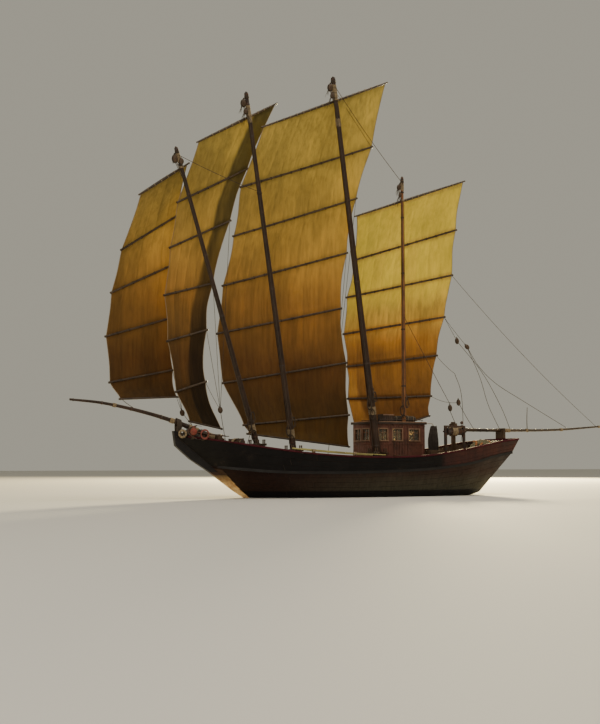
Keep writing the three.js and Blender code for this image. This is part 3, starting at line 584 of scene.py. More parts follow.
def make_hull_paint(name, slot, bulwark):
    m = Finish(name, slot, 0.55)
    where = m.place()
    broad = m.noise(where, 1.7, 6.0, 0.7)
    fine = m.noise(m.place((0.45, 5, 5)), 10.0, 8.0, 0.7, 0.4)
    x, _, z = m.parts(where)
    if bulwark:
        fore = m.spread(x, *BULWARK_CHANGE)
        black = m.ramp(fine, [(0.35, (0.0018, 0.0015, 0.0022)), (0.75, (0.008, 0.005, 0.005))])
        pink = m.ramp(broad, [(0.32, (0.028, 0.008, 0.008)), (0.66, (0.088, 0.028, 0.021))])
        colour = m.mixed(fore, pink, black)
    else:
        colour = banded(m, z, broad)
        forward = m.spread(x, *REDDER)
        colour = m.mixed(forward, colour, m.mixed(1.0, colour, (0.45, 0.22, 0.20), "MULTIPLY"))
    streaks = m.noise(m.place((6, 6, 0.35)), 2.2, 5.0, 0.6)
    colour = m.shaded(0.8, colour, streaks, [(0.36, 0.55), (0.60, 1.0)])
    worn = m.ramp(m.maths("MULTIPLY", fine, broad), [(0.13, 1.0), (0.17, 0.0)])
    m.set("Base Color", m.mixed(m.maths("MULTIPLY", worn, 0.5), colour, (0.075, 0.045, 0.03)))
    m.set("Roughness", m.ramp(broad, [(0.3, 0.46), (0.7, 0.76)]))
    m.set("Specular IOR Level", 0.22)
    m.bump(fine, 0.0015)
    return m


bulwark_paint = make_hull_paint("bulwark_paint", "dark_strake", True)
side_paint = make_hull_paint("side_paint", "planking", False)
print("hull paint bands:", len(BANDS))

# %% [markdown]
# Canvas is woven. Its colour reads Object Z: it is pale golden high up, where painted glow stands for the
# light that comes through the cloth, and darker towards the foot. Half of its light passes through: a
# Translucent shader is mixed with the Principled one, which is what makes a back-lit sail glow. The
# weave follows the sheet's own UV map.

# %% Canvas
SAIL_TONES = [
    # height, colour; the pale gold high up holds painted glow
    (2.0, (0.200, 0.115, 0.022)), (3.6, (0.165, 0.088, 0.019)), (5.4, (0.235, 0.118, 0.030)),
    (7.6, (0.50, 0.30, 0.082)), (10.0, (0.62, 0.45, 0.135)), (13.0, (0.64, 0.51, 0.165)),
    (16.5, (0.66, 0.55, 0.185)),
]
WEAVE = 160                           # threads in a metre, drawn coarser than real ones
TONE = "tone"                         # an attribute of the cloth: 0 dark, 0.5 as in the table, 1 pale; it holds painted light and shade
# the colour of the brightest painted glow
PAINTED_GLOW_COLOUR = (0.88, 0.80, 0.12)
PAINTED_GLOW_RISE = 20                             # painted glow: a tone of 0.6 is as pale as cloth 2 m higher up


def make_canvas():
    m = Finish("canvas", "sailcloth", 0.9)
    low, high = SAIL_TONES[0][0], SAIL_TONES[-1][0]
    broad = m.noise(m.place((1, 1, 0.7)), 0.55, 6.0, 0.62)
    moved = m.maths("ADD", m.parts(m.place())[2], m.spread(broad, -0.2, 1.4))
    tone = m.node("ShaderNodeAttribute", attribute_name=TONE).outputs["Fac"]
    # A tone above 0.5 is painted glow: it moves the colour up the height ramp, to paler cloth.
    faded = m.maths("MAXIMUM", m.maths("SUBTRACT", tone, 0.5), 0.0)
    moved = m.maths("MULTIPLY_ADD", faded, PAINTED_GLOW_RISE, moved)
    stops = [((z - low) / (high - low), colour) for z, colour in SAIL_TONES]
    colour = m.ramp(m.spread(moved, low, high), stops)
    colour = m.shaded(0.75, colour, broad, [(0.36, 0.66), (0.62, 1.0)])
    runs = m.noise(m.place((5, 5, 0.22)), 1.6, 5.0, 0.65)
    colour = m.shaded(0.6, colour, runs, [(0.34, 0.62), (0.58, 1.0)])
    # A tone below 0.5 is painted shade, together with each width's own darker tone: it darkens the colour.
    colour = m.shaded(1.0, colour, tone, [(0.0, 0.25), (0.5, 1.0)])
    # The brightest painted glow turns to the pale glow colour.
    colour = m.mixed(m.spread(tone, 0.70, 1.0), colour, PAINTED_GLOW_COLOUR)
    uv = m.node("ShaderNodeUVMap", uv_map="cloth").outputs["UV"]
    wave = {"Vector": uv, "Scale": WEAVE / 6.3, "Distortion": 0.8}
    threads = [m.node("ShaderNodeTexWave", wave, bands_direction=way).outputs["Fac"] for way in ("X", "Y")]
    weave = m.maths("MULTIPLY", *threads)
    colour = m.shaded(0.25, colour, weave, [(0.0, 0.55), (0.6, 1.0)])
    m.set("Base Color", colour)
    m.set("Sheen Weight", 0.15)
    m.bump(weave, 0.0009, 0.5)
    glow = m.node("ShaderNodeBsdfTranslucent", {"Color": colour})
    both = m.node("ShaderNodeMixShader", {"Fac": 0.55})
    m.fill(both.inputs[1], m.shader.outputs["BSDF"])
    m.fill(both.inputs[2], glow.outputs["BSDF"])
    m.fill(m.tree.nodes["Material Output"].inputs["Surface"], both.outputs["Shader"])
    return m


canvas = make_canvas()
print("canvas tones:", len(SAIL_TONES))

# %% [markdown]
# The other finishes: bamboo with a waxy skin, rope whose strands are a wave that needs no UV map,
# greasy iron, cast bronze, hammered copper, window glass, twine netting and engine enamel.

# %% Bamboo, rope, metals, glass and net
def make_bamboo(name, pale, deep):
    m = Finish(name, "bamboo", 0.42)
    fibres = m.noise(m.place((0.5, 6, 6)), 12.0, 6.0, 0.6)
    broad = m.noise(m.place(), 1.9, 4.0, 0.6)
    colour = m.ramp(broad, [(0.32, deep), (0.66, pale)])
    m.set("Base Color", m.shaded(0.7, colour, fibres, [(0.35, 0.6), (0.6, 1.0)]))
    m.set("Roughness", m.ramp(fibres, [(0.35, 0.7), (0.65, 0.38)]))
    m.bump(fibres, 0.0006)
    return m


def make_rope(name, pale, deep, scale=34.0):
    m = Finish(name, "netting", 0.88)
    wave = {"Vector": m.place(), "Scale": scale, "Distortion": 1.5, "Detail": 2.0}
    strands = m.node("ShaderNodeTexWave", wave, bands_direction="DIAGONAL").outputs["Fac"]
    broad = m.noise(m.place(), 7.0, 5.0, 0.6)
    m.set("Base Color", m.shaded(0.8, m.mixed(broad, deep, pale), strands, [(0.1, 0.45), (0.6, 1.0)]))
    m.set("Roughness", m.ramp(broad, [(0.3, 0.95), (0.7, 0.78)]))
    m.bump(strands, 0.002)
    return m


def make_metal(name, slot, clean, dirty, roughness, metallic, scale=9.0, painted_glint_heights=None):
    """painted_glint_heights gives two heights: below the first the metal is painted bright, a glint of light
    near the water; above the second it is dull brown.
    """
    m = Finish(name, slot, roughness, metallic)
    rough = m.noise(m.place(), scale, 8.0, 0.65)
    fine = m.noise(m.place(), scale * 9, 4.0, 0.6)
    colour = m.ramp(rough, [(0.36, dirty), (0.60, clean)])
    # Painted glint: the metal is bright near the water and dull brown higher up.
    if painted_glint_heights:
        moved = m.maths("ADD", m.parts(m.place())[2], m.maths("MULTIPLY", rough, 0.3))
        colour = m.mixed(m.spread(moved, painted_glint_heights[0] + 0.15, painted_glint_heights[1] + 0.15), colour, (0.050, 0.022, 0.010))
    m.set("Base Color", colour)
    m.set("Roughness", m.ramp(rough, [(0.34, min(1, roughness + 0.3)), (0.62, roughness)]))
    m.bump(m.maths("ADD", fine, rough), 0.0010)
    return m


def make_glass():
    m = Finish("window_glass", "window_glass", 0.05)
    smears = m.noise(m.place(), 14.0, 4.0, 0.6)
    m.set("Roughness", m.ramp(smears, [(0.4, 0.03), (0.7, 0.22)]))
    m.set("Base Color", (0.42, 0.35, 0.25, 1))      # brownish panes, darker than clear glass
    m.set("Transmission Weight", 0.9)
    m.set("IOR", 1.45)
    return m


bamboo = make_bamboo("bamboo", (0.36, 0.24, 0.085), (0.13, 0.075, 0.028))
pale_bamboo = make_bamboo("pale_bamboo", (0.46, 0.42, 0.14), (0.24, 0.20, 0.06))
dark_bamboo = make_bamboo("dark_bamboo", (0.085, 0.052, 0.026), (0.028, 0.016, 0.010))
rope = make_rope("rope", (0.44, 0.33, 0.19), (0.20, 0.14, 0.08))
dark_rope = make_rope("dark_rope", (0.10, 0.07, 0.045), (0.03, 0.02, 0.014))
red_rope = make_rope("red_rope", (0.36, 0.09, 0.07), (0.16, 0.04, 0.03))
iron = make_metal("iron", "dark_iron", (0.050, 0.046, 0.044), (0.11, 0.050, 0.028), 0.5, 0.55)
bronze = make_metal("bronze", "bronze", (0.52, 0.36, 0.14), (0.16, 0.14, 0.07), 0.35, 0.9)
copper = make_metal(
    "copper", "bronze", (0.98, 0.66, 0.27), (0.52, 0.28, 0.10), 0.42, 0.30, scale=5.0, painted_glint_heights=(0.45, 0.85),
)
engine_paint = make_metal("engine_paint", "engine_paint", (0.07, 0.16, 0.11), (0.03, 0.05, 0.04), 0.4, 0.1)
net_twine = make_rope("net_twine", (0.27, 0.27, 0.15), (0.10, 0.11, 0.06), 60.0)
glass = make_glass()
print("materials:", len(bpy.data.materials))

# %% [markdown]
# The hull's planking. On the real boat each strake is one run of planks from stem to transom, and
# its edges follow the sheer and the bilge. The four long lines of the hull are set out by station,
# as the frame has them, and a strake is a narrow section carried along between two of them. Seams
# are left open by a few millimetres, and each strake is broken into planks with butted ends.

# %% Hull lines
HULL_LINES = {
    # stern to stem, each x, half-breadth, height
    "rail": [
        (-7.05, 1.06, 2.16), (-5.9, 1.33, 2.03), (-4.5, 1.56, 1.79), (-2.35, 1.77, 1.49), (0, 1.82, 1.42),
        (2.3, 1.7, 1.52), (4.1, 1.37, 1.73), (5.6, 0.85, 1.96), (7.07, 0.11, 2.16),
    ],
    "wale": [
        (-6.72, 1.04, 1.66), (-5.6, 1.34, 1.5), (-4.3, 1.58, 1.23), (-2.3, 1.76, 1.02), (0, 1.8, 0.92),
        (2.2, 1.64, 0.9), (3.7, 1.23, 0.93), (4.9, 0.65, 1.03), (5.76, 0.095, 1.14),
    ],
    "chine": [
        (-5.38, 0.64, 0.13), (-4.7, 0.96, 0.03), (-3.7, 1.2, -0.06), (-2.1, 1.36, -0.13), (0, 1.4, -0.17),
        (1.95, 1.2, -0.14), (3.15, 0.78, -0.05), (3.95, 0.36, 0.06), (4.56, 0.08, 0.22),
    ],
    "keel": [
        (-5.3, 0.06, 0.02), (-4.45, 0.09, -0.13), (-3.4, 0.12, -0.33), (-1.9, 0.15, -0.5), (0, 0.16, -0.58),
        (1.8, 0.15, -0.59), (2.8, 0.11, -0.56), (3.42, 0.08, -0.52), (3.7, 0.06, -0.45),
    ],
}
LINES = {name: [Vector(p) for p in points] for name, points in HULL_LINES.items()}
DECK_HEIGHTS = [1.70, 1.58, 1.38, 1.06, 0.93, 1.01, 1.23, 1.50, 1.76]
DECK_LINE = [vec(p.x, 0, z) for p, z in zip(LINES["rail"], DECK_HEIGHTS)]
DECK_TOP = 0.0353                     # thickness of the deck planks and the gap under them
BULWARK = 0.07


def hull_point(upper, lower, share, t, side):
    place = curve_point(LINES[upper], t).lerp(curve_point(LINES[lower], t), share)
    return vec(place.x, side * place.y, place.z)


def line_at(line, x):
    low, high = 0.0, 1.0
    for _ in range(24):
        t = (low + high) / 2
        low, high = (t, high) if curve_point(line, t).x < x else (low, t)
    return low


def deck_z(x):
    return curve_point(DECK_LINE, line_at(DECK_LINE, x)).z + DECK_TOP


print("deck height amidships:", round(deck_z(0), 3))

# %% Planking
SUNK, SEAM, EASED = 0.008, 0.0025, 0.004
PLANK_ANGLE = 28                      # degrees: a plank's edges stay crisp
STATIONS = 60
PLANKING = [
    # piece, upper line, lower line, strakes, proud, finish
    ("bulwark_planks", "rail", "wale", 3, 0.013, bulwark_paint),
    ("side_planks", "wale", "chine", 6, 0.014, side_paint),
    ("bottom_planks", "chine", "keel", 5, 0.012, side_paint),
]


def add_plank(bm, upper, lower, shares, span, side, proud):
    steps = max(2, round((span[1] - span[0]) * STATIONS))
    rings = []
    for s in range(steps + 1):
        t = span[0] + (span[1] - span[0]) * s / steps
        top, bottom = (hull_point(upper, lower, share, t, side) for share in shares)
        ahead = hull_point(upper, lower, shares[0], min(t + 0.02, 1), side)
        behind = hull_point(upper, lower, shares[0], max(t - 0.02, 0), side)
        down = (bottom - top).normalized()
        out = (ahead - behind).cross(down).normalized() * side
        rise = min(proud, 0.30 * t) if lower == "keel" else proud     # flush where the rudder turns
        rings.append([
            top + down * SEAM - out * SUNK, top + down * SEAM + out * (rise - EASED),
            top + down * (SEAM + EASED) + out * rise, bottom - down * (SEAM + EASED) + out * rise,
            bottom - down * SEAM + out * (rise - EASED), bottom - down * SEAM - out * SUNK,
        ])
    extrude_through(bm, rings)


def add_planking(piece, upper, lower, strakes, proud, finish):
    bm = bmesh.new()
    for side in (1, -1):
        for k in range(strakes):
            butts = sorted([0.001, dice.uniform(0.2, 0.4), dice.uniform(0.58, 0.8), 0.999])
            for start, end in zip(butts, butts[1:]):
                lift = proud + dice.uniform(-0.002, 0.002)
                shares = (k / strakes, (k + 1) / strakes)
                add_plank(bm, upper, lower, shares, (start + 0.0004, end - 0.0004), side, lift)
    show(bm, piece, finish, angle=PLANK_ANGLE)


for row in PLANKING:
    add_planking(*row)

# %% [markdown]
# The transom is planked across. Its boards run from side to side between the ends of the same four
# lines, so each is a section carried over the boat's width.

# %% Transom
TRANSOM_BOARDS = 7
TRANSOM_PROUD = 0.014


def transom_place(height, share):
    ends = [LINES[name][0] for name in ("rail", "wale", "chine")]
    for upper, lower in zip(ends, ends[1:]):
        if lower.z <= height <= upper.z:
            k = (height - lower.z) / (upper.z - lower.z)
            edge = lower.lerp(upper, k)
            return vec(edge.x, edge.y * share, height)
    return vec(ends[-1].x, ends[-1].y * share, height)


def add_transom():
    bm = bmesh.new()
    low, high = LINES["chine"][0].z + 0.02, LINES["rail"][0].z - 0.01
    for k in range(TRANSOM_BOARDS):
        bottom = low + (high - low) * k / TRANSOM_BOARDS + SEAM
        top = low + (high - low) * (k + 1) / TRANSOM_BOARDS - SEAM
        rings = []
        for s in range(9):
            share = -0.985 + 1.97 * s / 8
            lower, upper = transom_place(bottom, share), transom_place(top, share)
            along = (upper - lower).normalized()
            out = along.cross(ABEAM).normalized()
            out = out if out.x < 0 else -out
            rings.append([
                lower - out * SUNK, lower + out * (TRANSOM_PROUD - EASED),
                lower + along * EASED + out * TRANSOM_PROUD,
                upper - along * EASED + out * TRANSOM_PROUD, upper + out * (TRANSOM_PROUD - EASED),
                upper - out * SUNK,
            ])
        extrude_through(bm, rings)
    show(bm, "transom_boards", bulwark_paint, angle=PLANK_ANGLE)


add_transom()

# %% [markdown]
# Inside the bulwark the frames' heads stand up as stanchions, one every half metre, with a
# clamp plank between them under the rail.

# %% Bulwark stanchions
STANCHION = (0.07, 0.05)
STANCHION_STEP = 0.55


def inner_face(t, side, share):
    """The bulwark's inner face at station t. share is 0 at the deck planks and 1 under the rail."""
    rail, wale = (curve_point(LINES[name], t) for name in ("rail", "wale"))
    down = 0.0
    for _ in range(10):
        floor = deck_z(rail.x + down * (wale.x - rail.x))
        down = (rail.z - floor) / (rail.z - wale.z)
    place = rail.lerp(wale, down * (1 - share))
    return vec(place.x, side * (place.y - BULWARK), place.z)


def add_stanchions():
    bm = bmesh.new()
    count = round(14 / STANCHION_STEP)
    for side in (1, -1):
        for s in range(1, count):
            t = 0.03 + 0.93 * s / count
            foot, head = inner_face(t, side, 0.01), inner_face(t, side, 0.985)
            if abs(foot.y) > 0.28:
                inward = vec(0, -side * STANCHION[1] / 2, 0)
                beam(
                    bm, ((head - foot).length, STANCHION[1], STANCHION[0]),
                    between(foot + inward, head + inward), 0.006,
                )
        rings = []
        for s in range(49):
            t = 0.02 + 0.92 * s / 48
            low, high = inner_face(t, side, 0.30), inner_face(t, side, 0.52)
            inward = vec(0, -side * (STANCHION[1] + 0.018), 0)
            against = vec(0, -side * STANCHION[1], 0)
            rings.append([low + against, low + inward, high + inward, high + against])
        extrude_through(bm, rings)
    show(bm, "bulwark_frames", block_wood, slot="planking")


add_stanchions()

# %% [markdown]
# Rails, wales, stem and keel keep the CAD shape, with eased edges. The rail is scarfed from long
# timbers, so it gets a seam every few metres, and the deck gets one seam for each plank.

# %% Rails, wales, stem, keel and deck
PLANK_WIDTH = 0.135


def anywhere(face):
    return True


def on_deck(face):
    middle = face.calc_center_median()
    return face.normal.z > 0.95 and middle.z < deck_z(middle.x) + 0.02


for name in ("rail_port", "rail_starboard"):
    softened(name, rail_paint, 0.014, [(AHEAD, [-4.1, -0.7, 2.9, 5.3], 0.006, 0.004, anywhere)])
softened("rail_stern", rail_paint, 0.014)
for name in ("wale_port", "wale_starboard"):
    softened(name, wale_paint, 0.012, [(AHEAD, [-3.2, 0.9, 3.6], 0.005, 0.004, anywhere)])
softened("stem", wale_paint, 0.016)
softened("keel", side_paint, 0.010, [(AHEAD, [-2.2, 1.1], 0.006, 0.004, anywhere)])
softened("deck", deck_wood, 0.004, [
    (ABEAM, spaced(-1.75, 1.75, PLANK_WIDTH), 0.007, 0.006, on_deck),
])
nodes["hull"].data.materials.clear()
nodes["hull"].data.materials.append(block_wood.material)

# %% [markdown]
# Masts. A mast is one tree, adzed round and oiled dark, with iron hoops where it could split, rope
# served round it where the yard rubs, and a cap at the head. The path of the circle that makes it
# is the mast's line in the frame, with radii that swell a little at knots.

# %% Mast table
MASTS = {
    # foot x and z on deck, head x and z, y to port, radius at foot and head
    "fore": ((4.11, 2.02), (7.26, 12.29), 0.3, (0.105, 0.060)),
    "second": ((2.63, 1.81), (4.56, 14.71), 0.3, (0.120, 0.066)),
    "main": ((-0.84, 1.65), (1.01, 15.82), 0.45, (0.145, 0.078)),
    "mizzen": ((-2.34, 2.70), (-2.35, 12.46), 0.0, (0.095, 0.052)),
}
MAST_HEEL = -0.16                     # the mast is let this far into the hull under the deck


def mast_at(name, z):
    (foot_x, foot_z), (head_x, head_z), y, _ = MASTS[name]
    return vec(foot_x + (head_x - foot_x) * (z - foot_z) / (head_z - foot_z), y, z)


def mast_foot(name):
    """The height of the deck at the mast."""
    return deck_z(MASTS[name][0][0])


def mast_head(name):
    return MASTS[name][1][1]


def mast_up(name):
    return (mast_at(name, 10) - mast_at(name, 0)).normalized()


def mast_radius(name, z):
    (_, _), (_, head_z), _, (foot, head) = MASTS[name]
    heel = heel_z(name)
    return foot + (head - foot) * (z - heel) / (head_z - heel)


def heel_z(name):
    return mast_foot(name) - DECK_TOP + MAST_HEEL


for name in MASTS:
    print(name, "heel at", round(heel_z(name), 2), "head radius", mast_radius(name, mast_head(name)))

# %% Masts
HOOPS = 5
SERVING = 0.012                       # radius of the rope that is served round a mast


def add_mast(name):
    bm = bmesh.new()
    head = mast_head(name)
    low = heel_z(name)
    steps = 60
    heights = [low + (head - low) * s / steps for s in range(steps + 1)]
    radii = [mast_radius(name, z) * (1 + 0.018 * dice.uniform(-1, 1)) for z in heights]
    sweep(bm, [mast_at(name, z) for z in heights], radii, 28)
    # The mizzen mast gets the lighter copy of the spar wood: painted light.
    wood = painted_lit_spar_wood if name == "mizzen" else spar_wood
    show(bm, f"mast_{name}_pole", wood, stands_for=[f"mast_{name}"])


def add_mast_iron(name):
    bm = bmesh.new()
    up = mast_up(name)
    head = mast_head(name)
    low = mast_foot(name) + 0.9
    for k in range(HOOPS):
        z = low + (head - 1.6 - low) * k / (HOOPS - 1)
        hoop(bm, mast_at(name, z), up, mast_radius(name, z) + 0.004, 0.007, 28, 6, 4.0)
    for z in (head - 0.06, head - 0.42):
        hoop(bm, mast_at(name, z), up, mast_radius(name, z) + 0.005, 0.008, 28, 6, 4.0)
    show(bm, f"mast_{name}_hoops", iron)


def add_serving(name, z0, z1):
    """Rope turns lie side by side round the mast, as one long helix."""
    bm = bmesh.new()
    up = mast_up(name)
    side = up.orthogonal().normalized()
    other = up.cross(side)
    turns = max(3, round((z1 - z0) / (2.1 * SERVING)))
    path = []
    for s in range(turns * 12 + 1):
        angle = tau * s / 12
        z = z0 + (z1 - z0) * s / (turns * 12)
        reach = mast_radius(name, z) + SERVING * 0.8
        path.append(mast_at(name, z) + (side * cos(angle) + other * sin(angle)) * reach)
    sweep(bm, path, SERVING, 6)
    show(bm, f"mast_{name}_serving_{round(z0 * 10)}", rope)


SERVINGS = [
    # mast, from, to: where ropes and the yard rub
    ("fore", 11.78, 12.10), ("second", 13.62, 14.25), ("main", 13.95, 14.25), ("main", 15.05, 15.55),
    ("mizzen", 11.95, 12.25), ("fore", 2.35, 2.60), ("second", 2.15, 2.45), ("main", 3.05, 3.35),
]
for name in MASTS:
    add_mast(name)
    add_mast_iron(name)
for row in SERVINGS:
    add_serving(*row)

# %% [markdown]
# Sails. Each is a battened lug: a yard at the head, battens across, a boom at the foot, and canvas
# that bellies away from the wind between them. The table gives each spar's two ends, so the luff
# and the leech are smooth curves through those ends, and a point of the cloth is found from its
# row and its share of the width. The free edges are cut hollow between the battens.

# %% Sail table
SAILS = {
    # rows from the yard down: luff x and z, leech x and z, how far it hangs to leeward of its mast
    "fore": [
        (8.48, 10.54, 6.79, 11.79, 0), (8.78, 8.74, 6.68, 10.20, 1.25), (9.00, 7.25, 6.70, 8.44, 1.65),
        (9.11, 5.70, 6.70, 6.50, 1.85), (8.94, 4.07, 6.60, 4.60, 1.85), (8.61, 3.48, 6.51, 3.61, 1.65),
    ],
    "second": [
        (6.34, 12.69, 3.32, 14.52, 0), (6.90, 10.54, 4.19, 12.09, 0.70), (7.04, 8.94, 4.72, 10.15, 1.05),
        (7.15, 7.23, 5.29, 7.81, 1.25), (7.02, 5.58, 5.53, 6.06, 1.25), (6.75, 3.76, 5.64, 4.15, 1.05),
        (6.32, 2.70, 5.12, 2.46, 0.80),
    ],
    "main": [
        (3.84, 13.56, -1.41, 16.06, 0), (4.45, 11.37, -1.16, 13.64, 0.80), (4.51, 9.62, -0.74, 11.63, 1.30),
        (4.78, 7.79, -0.50, 9.49, 1.65), (4.95, 6.00, -0.29, 7.28, 1.75), (4.77, 4.16, -0.43, 5.13, 1.60),
        (4.06, 2.62, -0.35, 3.08, 1.30), (3.92, 2.30, -0.33, 1.86, 1.25),
    ],
    "mizzen": [
        (-0.35, 10.75, -5.37, 12.70, 0), (-0.62, 9.15, -5.50, 10.84, 0.85), (-0.60, 7.75, -5.63, 9.04, 1.35),
        (-0.68, 6.34, -5.50, 7.32, 1.75), (-0.90, 5.06, -5.19, 5.70, 1.90), (-0.86, 3.77, -4.78, 3.99, 1.75),
        (-1.07, 2.15, -4.52, 3.15, 1.50),
    ],
}
YARD_RADIUS, YARD_TIP, YARD_PAST = 0.052, 0.030, 0.11
SLACK = 0.002
CAMBER, PILLOW, SCALLOP = 0.045, 0.07, 0.07


def crossing(name):
    """Where the yard's line passes the mast's line, seen from the side."""
    luff_x, luff_z, leech_x, leech_z, _ = SAILS[name][0]
    z = (luff_z + leech_z) / 2
    for _ in range(20):
        x = mast_at(name, z).x
        z = luff_z + (leech_z - luff_z) * (luff_x - x) / (luff_x - leech_x)
    return mast_at(name, z)


def sail_edges(name):
    y = MASTS[name][2]
    hang = mast_radius(name, crossing(name).z) + YARD_RADIUS + SLACK
    luff = [vec(row[0], y - max(row[4], hang), row[1]) for row in SAILS[name]]
    leech = [vec(row[2], y - max(row[4], hang), row[3]) for row in SAILS[name]]
    return luff, leech


EDGES = {name: sail_edges(name) for name in SAILS}


def panels(name):
    return len(SAILS[name]) - 1


def cloth_place(name, row, u):
    luff, leech = (curve_point(edge, row / panels(name)) for edge in EDGES[name])
    width = (leech - luff).length
    swell = sin(pi * (row % 1))
    held = min(row, panels(name) - row, 1)
    inset = SCALLOP * swell / width
    place = luff.lerp(leech, inset + u * (1 - 2 * inset))
    place.y -= 4 * u * (1 - u) * (CAMBER * width * held + PILLOW * swell)
    return place


for name in SAILS:
    print(name, "head crosses its mast at", [round(c, 2) for c in crossing(name)])

# %% [markdown]
# The cloth is one sheet a sail. A row of vertices starts at the head and is extruded down the sail.
# Three columns stand close together at each seam between two widths of canvas and lift a little, so
# the seam is a real ridge. Long soft folds run between the battens. The sheet is then solidified, and
# the flat size that it was cut to is worked out and printed.

# %% Sail cloth
CANVAS_WIDTH = 0.56
SEAM_HALF, SEAM_LIFT = 0.014, 0.004
PANEL_ROWS = 9
CLOTH_THICK = 0.004
CLOTH_CLEAR = 0.030                   # the cloth ends this far below the yard and above the boom


def cloth_columns(width):
    """Shares of the width with how far each lifts: seams and three plain columns between them."""
    count = max(2, round(width / CANVAS_WIDTH))
    columns = []
    for k in range(count):
        start = k / count
        if k:
            half = SEAM_HALF / width
            columns += [(start - half, 0.0), (start, SEAM_LIFT), (start + half, 0.0)]
        columns += [(start + j / (4 * count), 0.0) for j in (range(4) if k == 0 else range(1, 4))]
    return columns + [(1.0, 0.0)]


def folds(name, row, u):
    """Soft creases: they run from the luff's batten ends down and fade towards the leech."""
    swell = sin(pi * (row % 1))
    wave = sin(11 * u + 2.3 * row + 1.7 * len(name)) + 0.6 * sin(27 * u - 3.1 * row)
    return 0.012 * swell * wave + 0.010 * sin(5 * u + 9 * row) * swell


def flat_cut(name):
    """Width, length and area of the sheet as it was cut: each panel is nearly a trapezium."""
    luff, leech = EDGES[name]
    widths = [(b - a).length for a, b in zip(luff, leech)]
    deep = [
        (((a1 - a0).length + (b1 - b0).length) / 2)
        for a0, a1, b0, b1 in zip(luff, luff[1:], leech, leech[1:])
    ]
    area = 0.0
    for k, depth in enumerate(deep):
        across = (widths[k] + widths[k + 1]) / 2
        slant = (luff[k] - leech[k]).normalized().dot((luff[k + 1] - luff[k]).normalized())
        area += across * depth * sqrt(1 - slant**2)
    return max(widths), sum(deep), area


def rising(value, low, high):
    """0 below low, 1 above high, straight between them."""
    return min(1, max(0, (value - low) / (high - low)))


def cloth_tone(name, row, u, patch):
    """How dark a spot of the cloth is, with painted light and shade in it. A painted shadow runs along each
    batten, the second sail's leech lies in its neighbour's painted shadow, the fore and second sails have
    painted shade lower down, and the mizzen has painted glow high up and low down, with a painted
    highlight in a strip along its lower luff. Each width of canvas has faded a little differently."""
    tone = 0.5 - (0.03 if name == "mizzen" else 0.10) * patch
    tone -= 0.13 * (1 - rising(abs(row - round(row)), 0, 0.11))     # painted shadow along the battens
    # the main sail's painted shadow along the second sail's leech, and painted shade lower down
    if name == "second":
        edge = 0.70 - 0.09 * max(0, row - 2.6)
        tone -= 0.37 * rising(u, edge, edge + 0.05) + 0.08 * rising(row, 3.0, 4.0)
    # painted glow on the mizzen: paler high up and lower down, with a painted highlight in a strip along the
    # lower luff
    if name == "mizzen":
        new = rising(row, 4.0, 4.8) * (1 - rising(u, 0.025 + 0.10 * (row - 4), 0.055 + 0.10 * (row - 4)))
        tone += 0.30 * (1 - rising(row, 2.2, 3.8)) + 0.105 * rising(row, 3.4, 4.2) + 0.09 * new
    # painted shade lower down on the fore sail
    if name == "fore":
        tone -= 0.10 * rising(row, 1.2, 3.2)
    return tone


def add_cloth(name):
    bm = bmesh.new()
    tones = bm.verts.layers.float.new(TONE)
    luff, leech = EDGES[name]
    columns = cloth_columns((luff[2] - leech[2]).length)
    count = panels(name) * PANEL_ROWS
    rows = []
    uv_of = {}
    ends = CLOTH_CLEAR / 1.6
    for r in range(count + 1):
        row = min(max(r / PANEL_ROWS, ends), panels(name) - ends)
        rows.append([
            cloth_place(name, row, u) + vec(0, lift + folds(name, row, u), 0) for u, lift in columns
        ])
    grid = extrude_through(bm, rows, closed=False)
    layer = bm.loops.layers.uv.new("cloth")
    widths = [dice.uniform(0, 1) for _ in range(40)]
    for r, verts in enumerate(grid):
        for (u, _), vert in zip(columns, verts):
            uv_of[vert] = (u * 5, r / PANEL_ROWS * 1.8)
            patch = widths[int(u * 8.99) + 9 * (r // PANEL_ROWS % 4)]
            vert[tones] = cloth_tone(name, r / PANEL_ROWS, u, patch)
    for face in bm.faces:
        for loop in face.loops:
            loop[layer].uv = uv_of[loop.vert]
    bmesh.ops.recalc_face_normals(bm, faces=bm.faces[:])
    bmesh.ops.solidify(bm, geom=bm.faces[:], thickness=CLOTH_THICK)
    width, length, area = flat_cut(name)
    piece = show(
        bm, f"sail_{name}_canvas", canvas, f"{name}_sail", stands_for=[f"sail_{name}_cloth"], angle=60,
    )
    print(name, "cut", round(width, 2), "by", round(length, 2), "m, area", round(area, 1))
    return piece, (width, length), area


CLOTHS = {name: add_cloth(name) for name in SAILS}

# %% [markdown]
# The spars of a sail. The yard is a tapered pole, the battens are bamboo with a knuckle every
# third of a metre, and each batten is a pair: the heavy one on the weather side, a light one to
# leeward, with lashings through the canvas. Short knobs stop the lashings at the ends.

# %% Yards, battens and booms
KNUCKLE = 0.34
BATTEN_RADIUS, COUNTER_RADIUS, BOOM_RADIUS = 0.039, 0.014, 0.036
BATTEN_PAST, BOOM_PAST = 0.055, 0.06
LASHING_STEP = 0.48


def longer(path, past):
    path[0] = path[0] + (path[0] - path[1]).normalized() * past
    path[-1] = path[-1] + (path[-1] - path[-2]).normalized() * past
    return path


def knuckled(path, radius, tip=1.0):
    """Points and radii along a bamboo: each knuckle is a narrow swelling."""
    total = sum((b - a).length for a, b in zip(path, path[1:]))
    count = max(2, round(total / KNUCKLE))
    places, radii = [], []
    for k in range(count):
        for share, swell in ((0.0, 1.13), (0.05, 1.0), (0.5, 0.97), (0.95, 1.0)):
            t = (k + share) / count
            places.append(curve_point(path, t))
            radii.append(radius * swell * (1 - (1 - tip) * t))
    places.append(curve_point(path, 1.0))
    radii.append(radius * tip)
    return places, radii


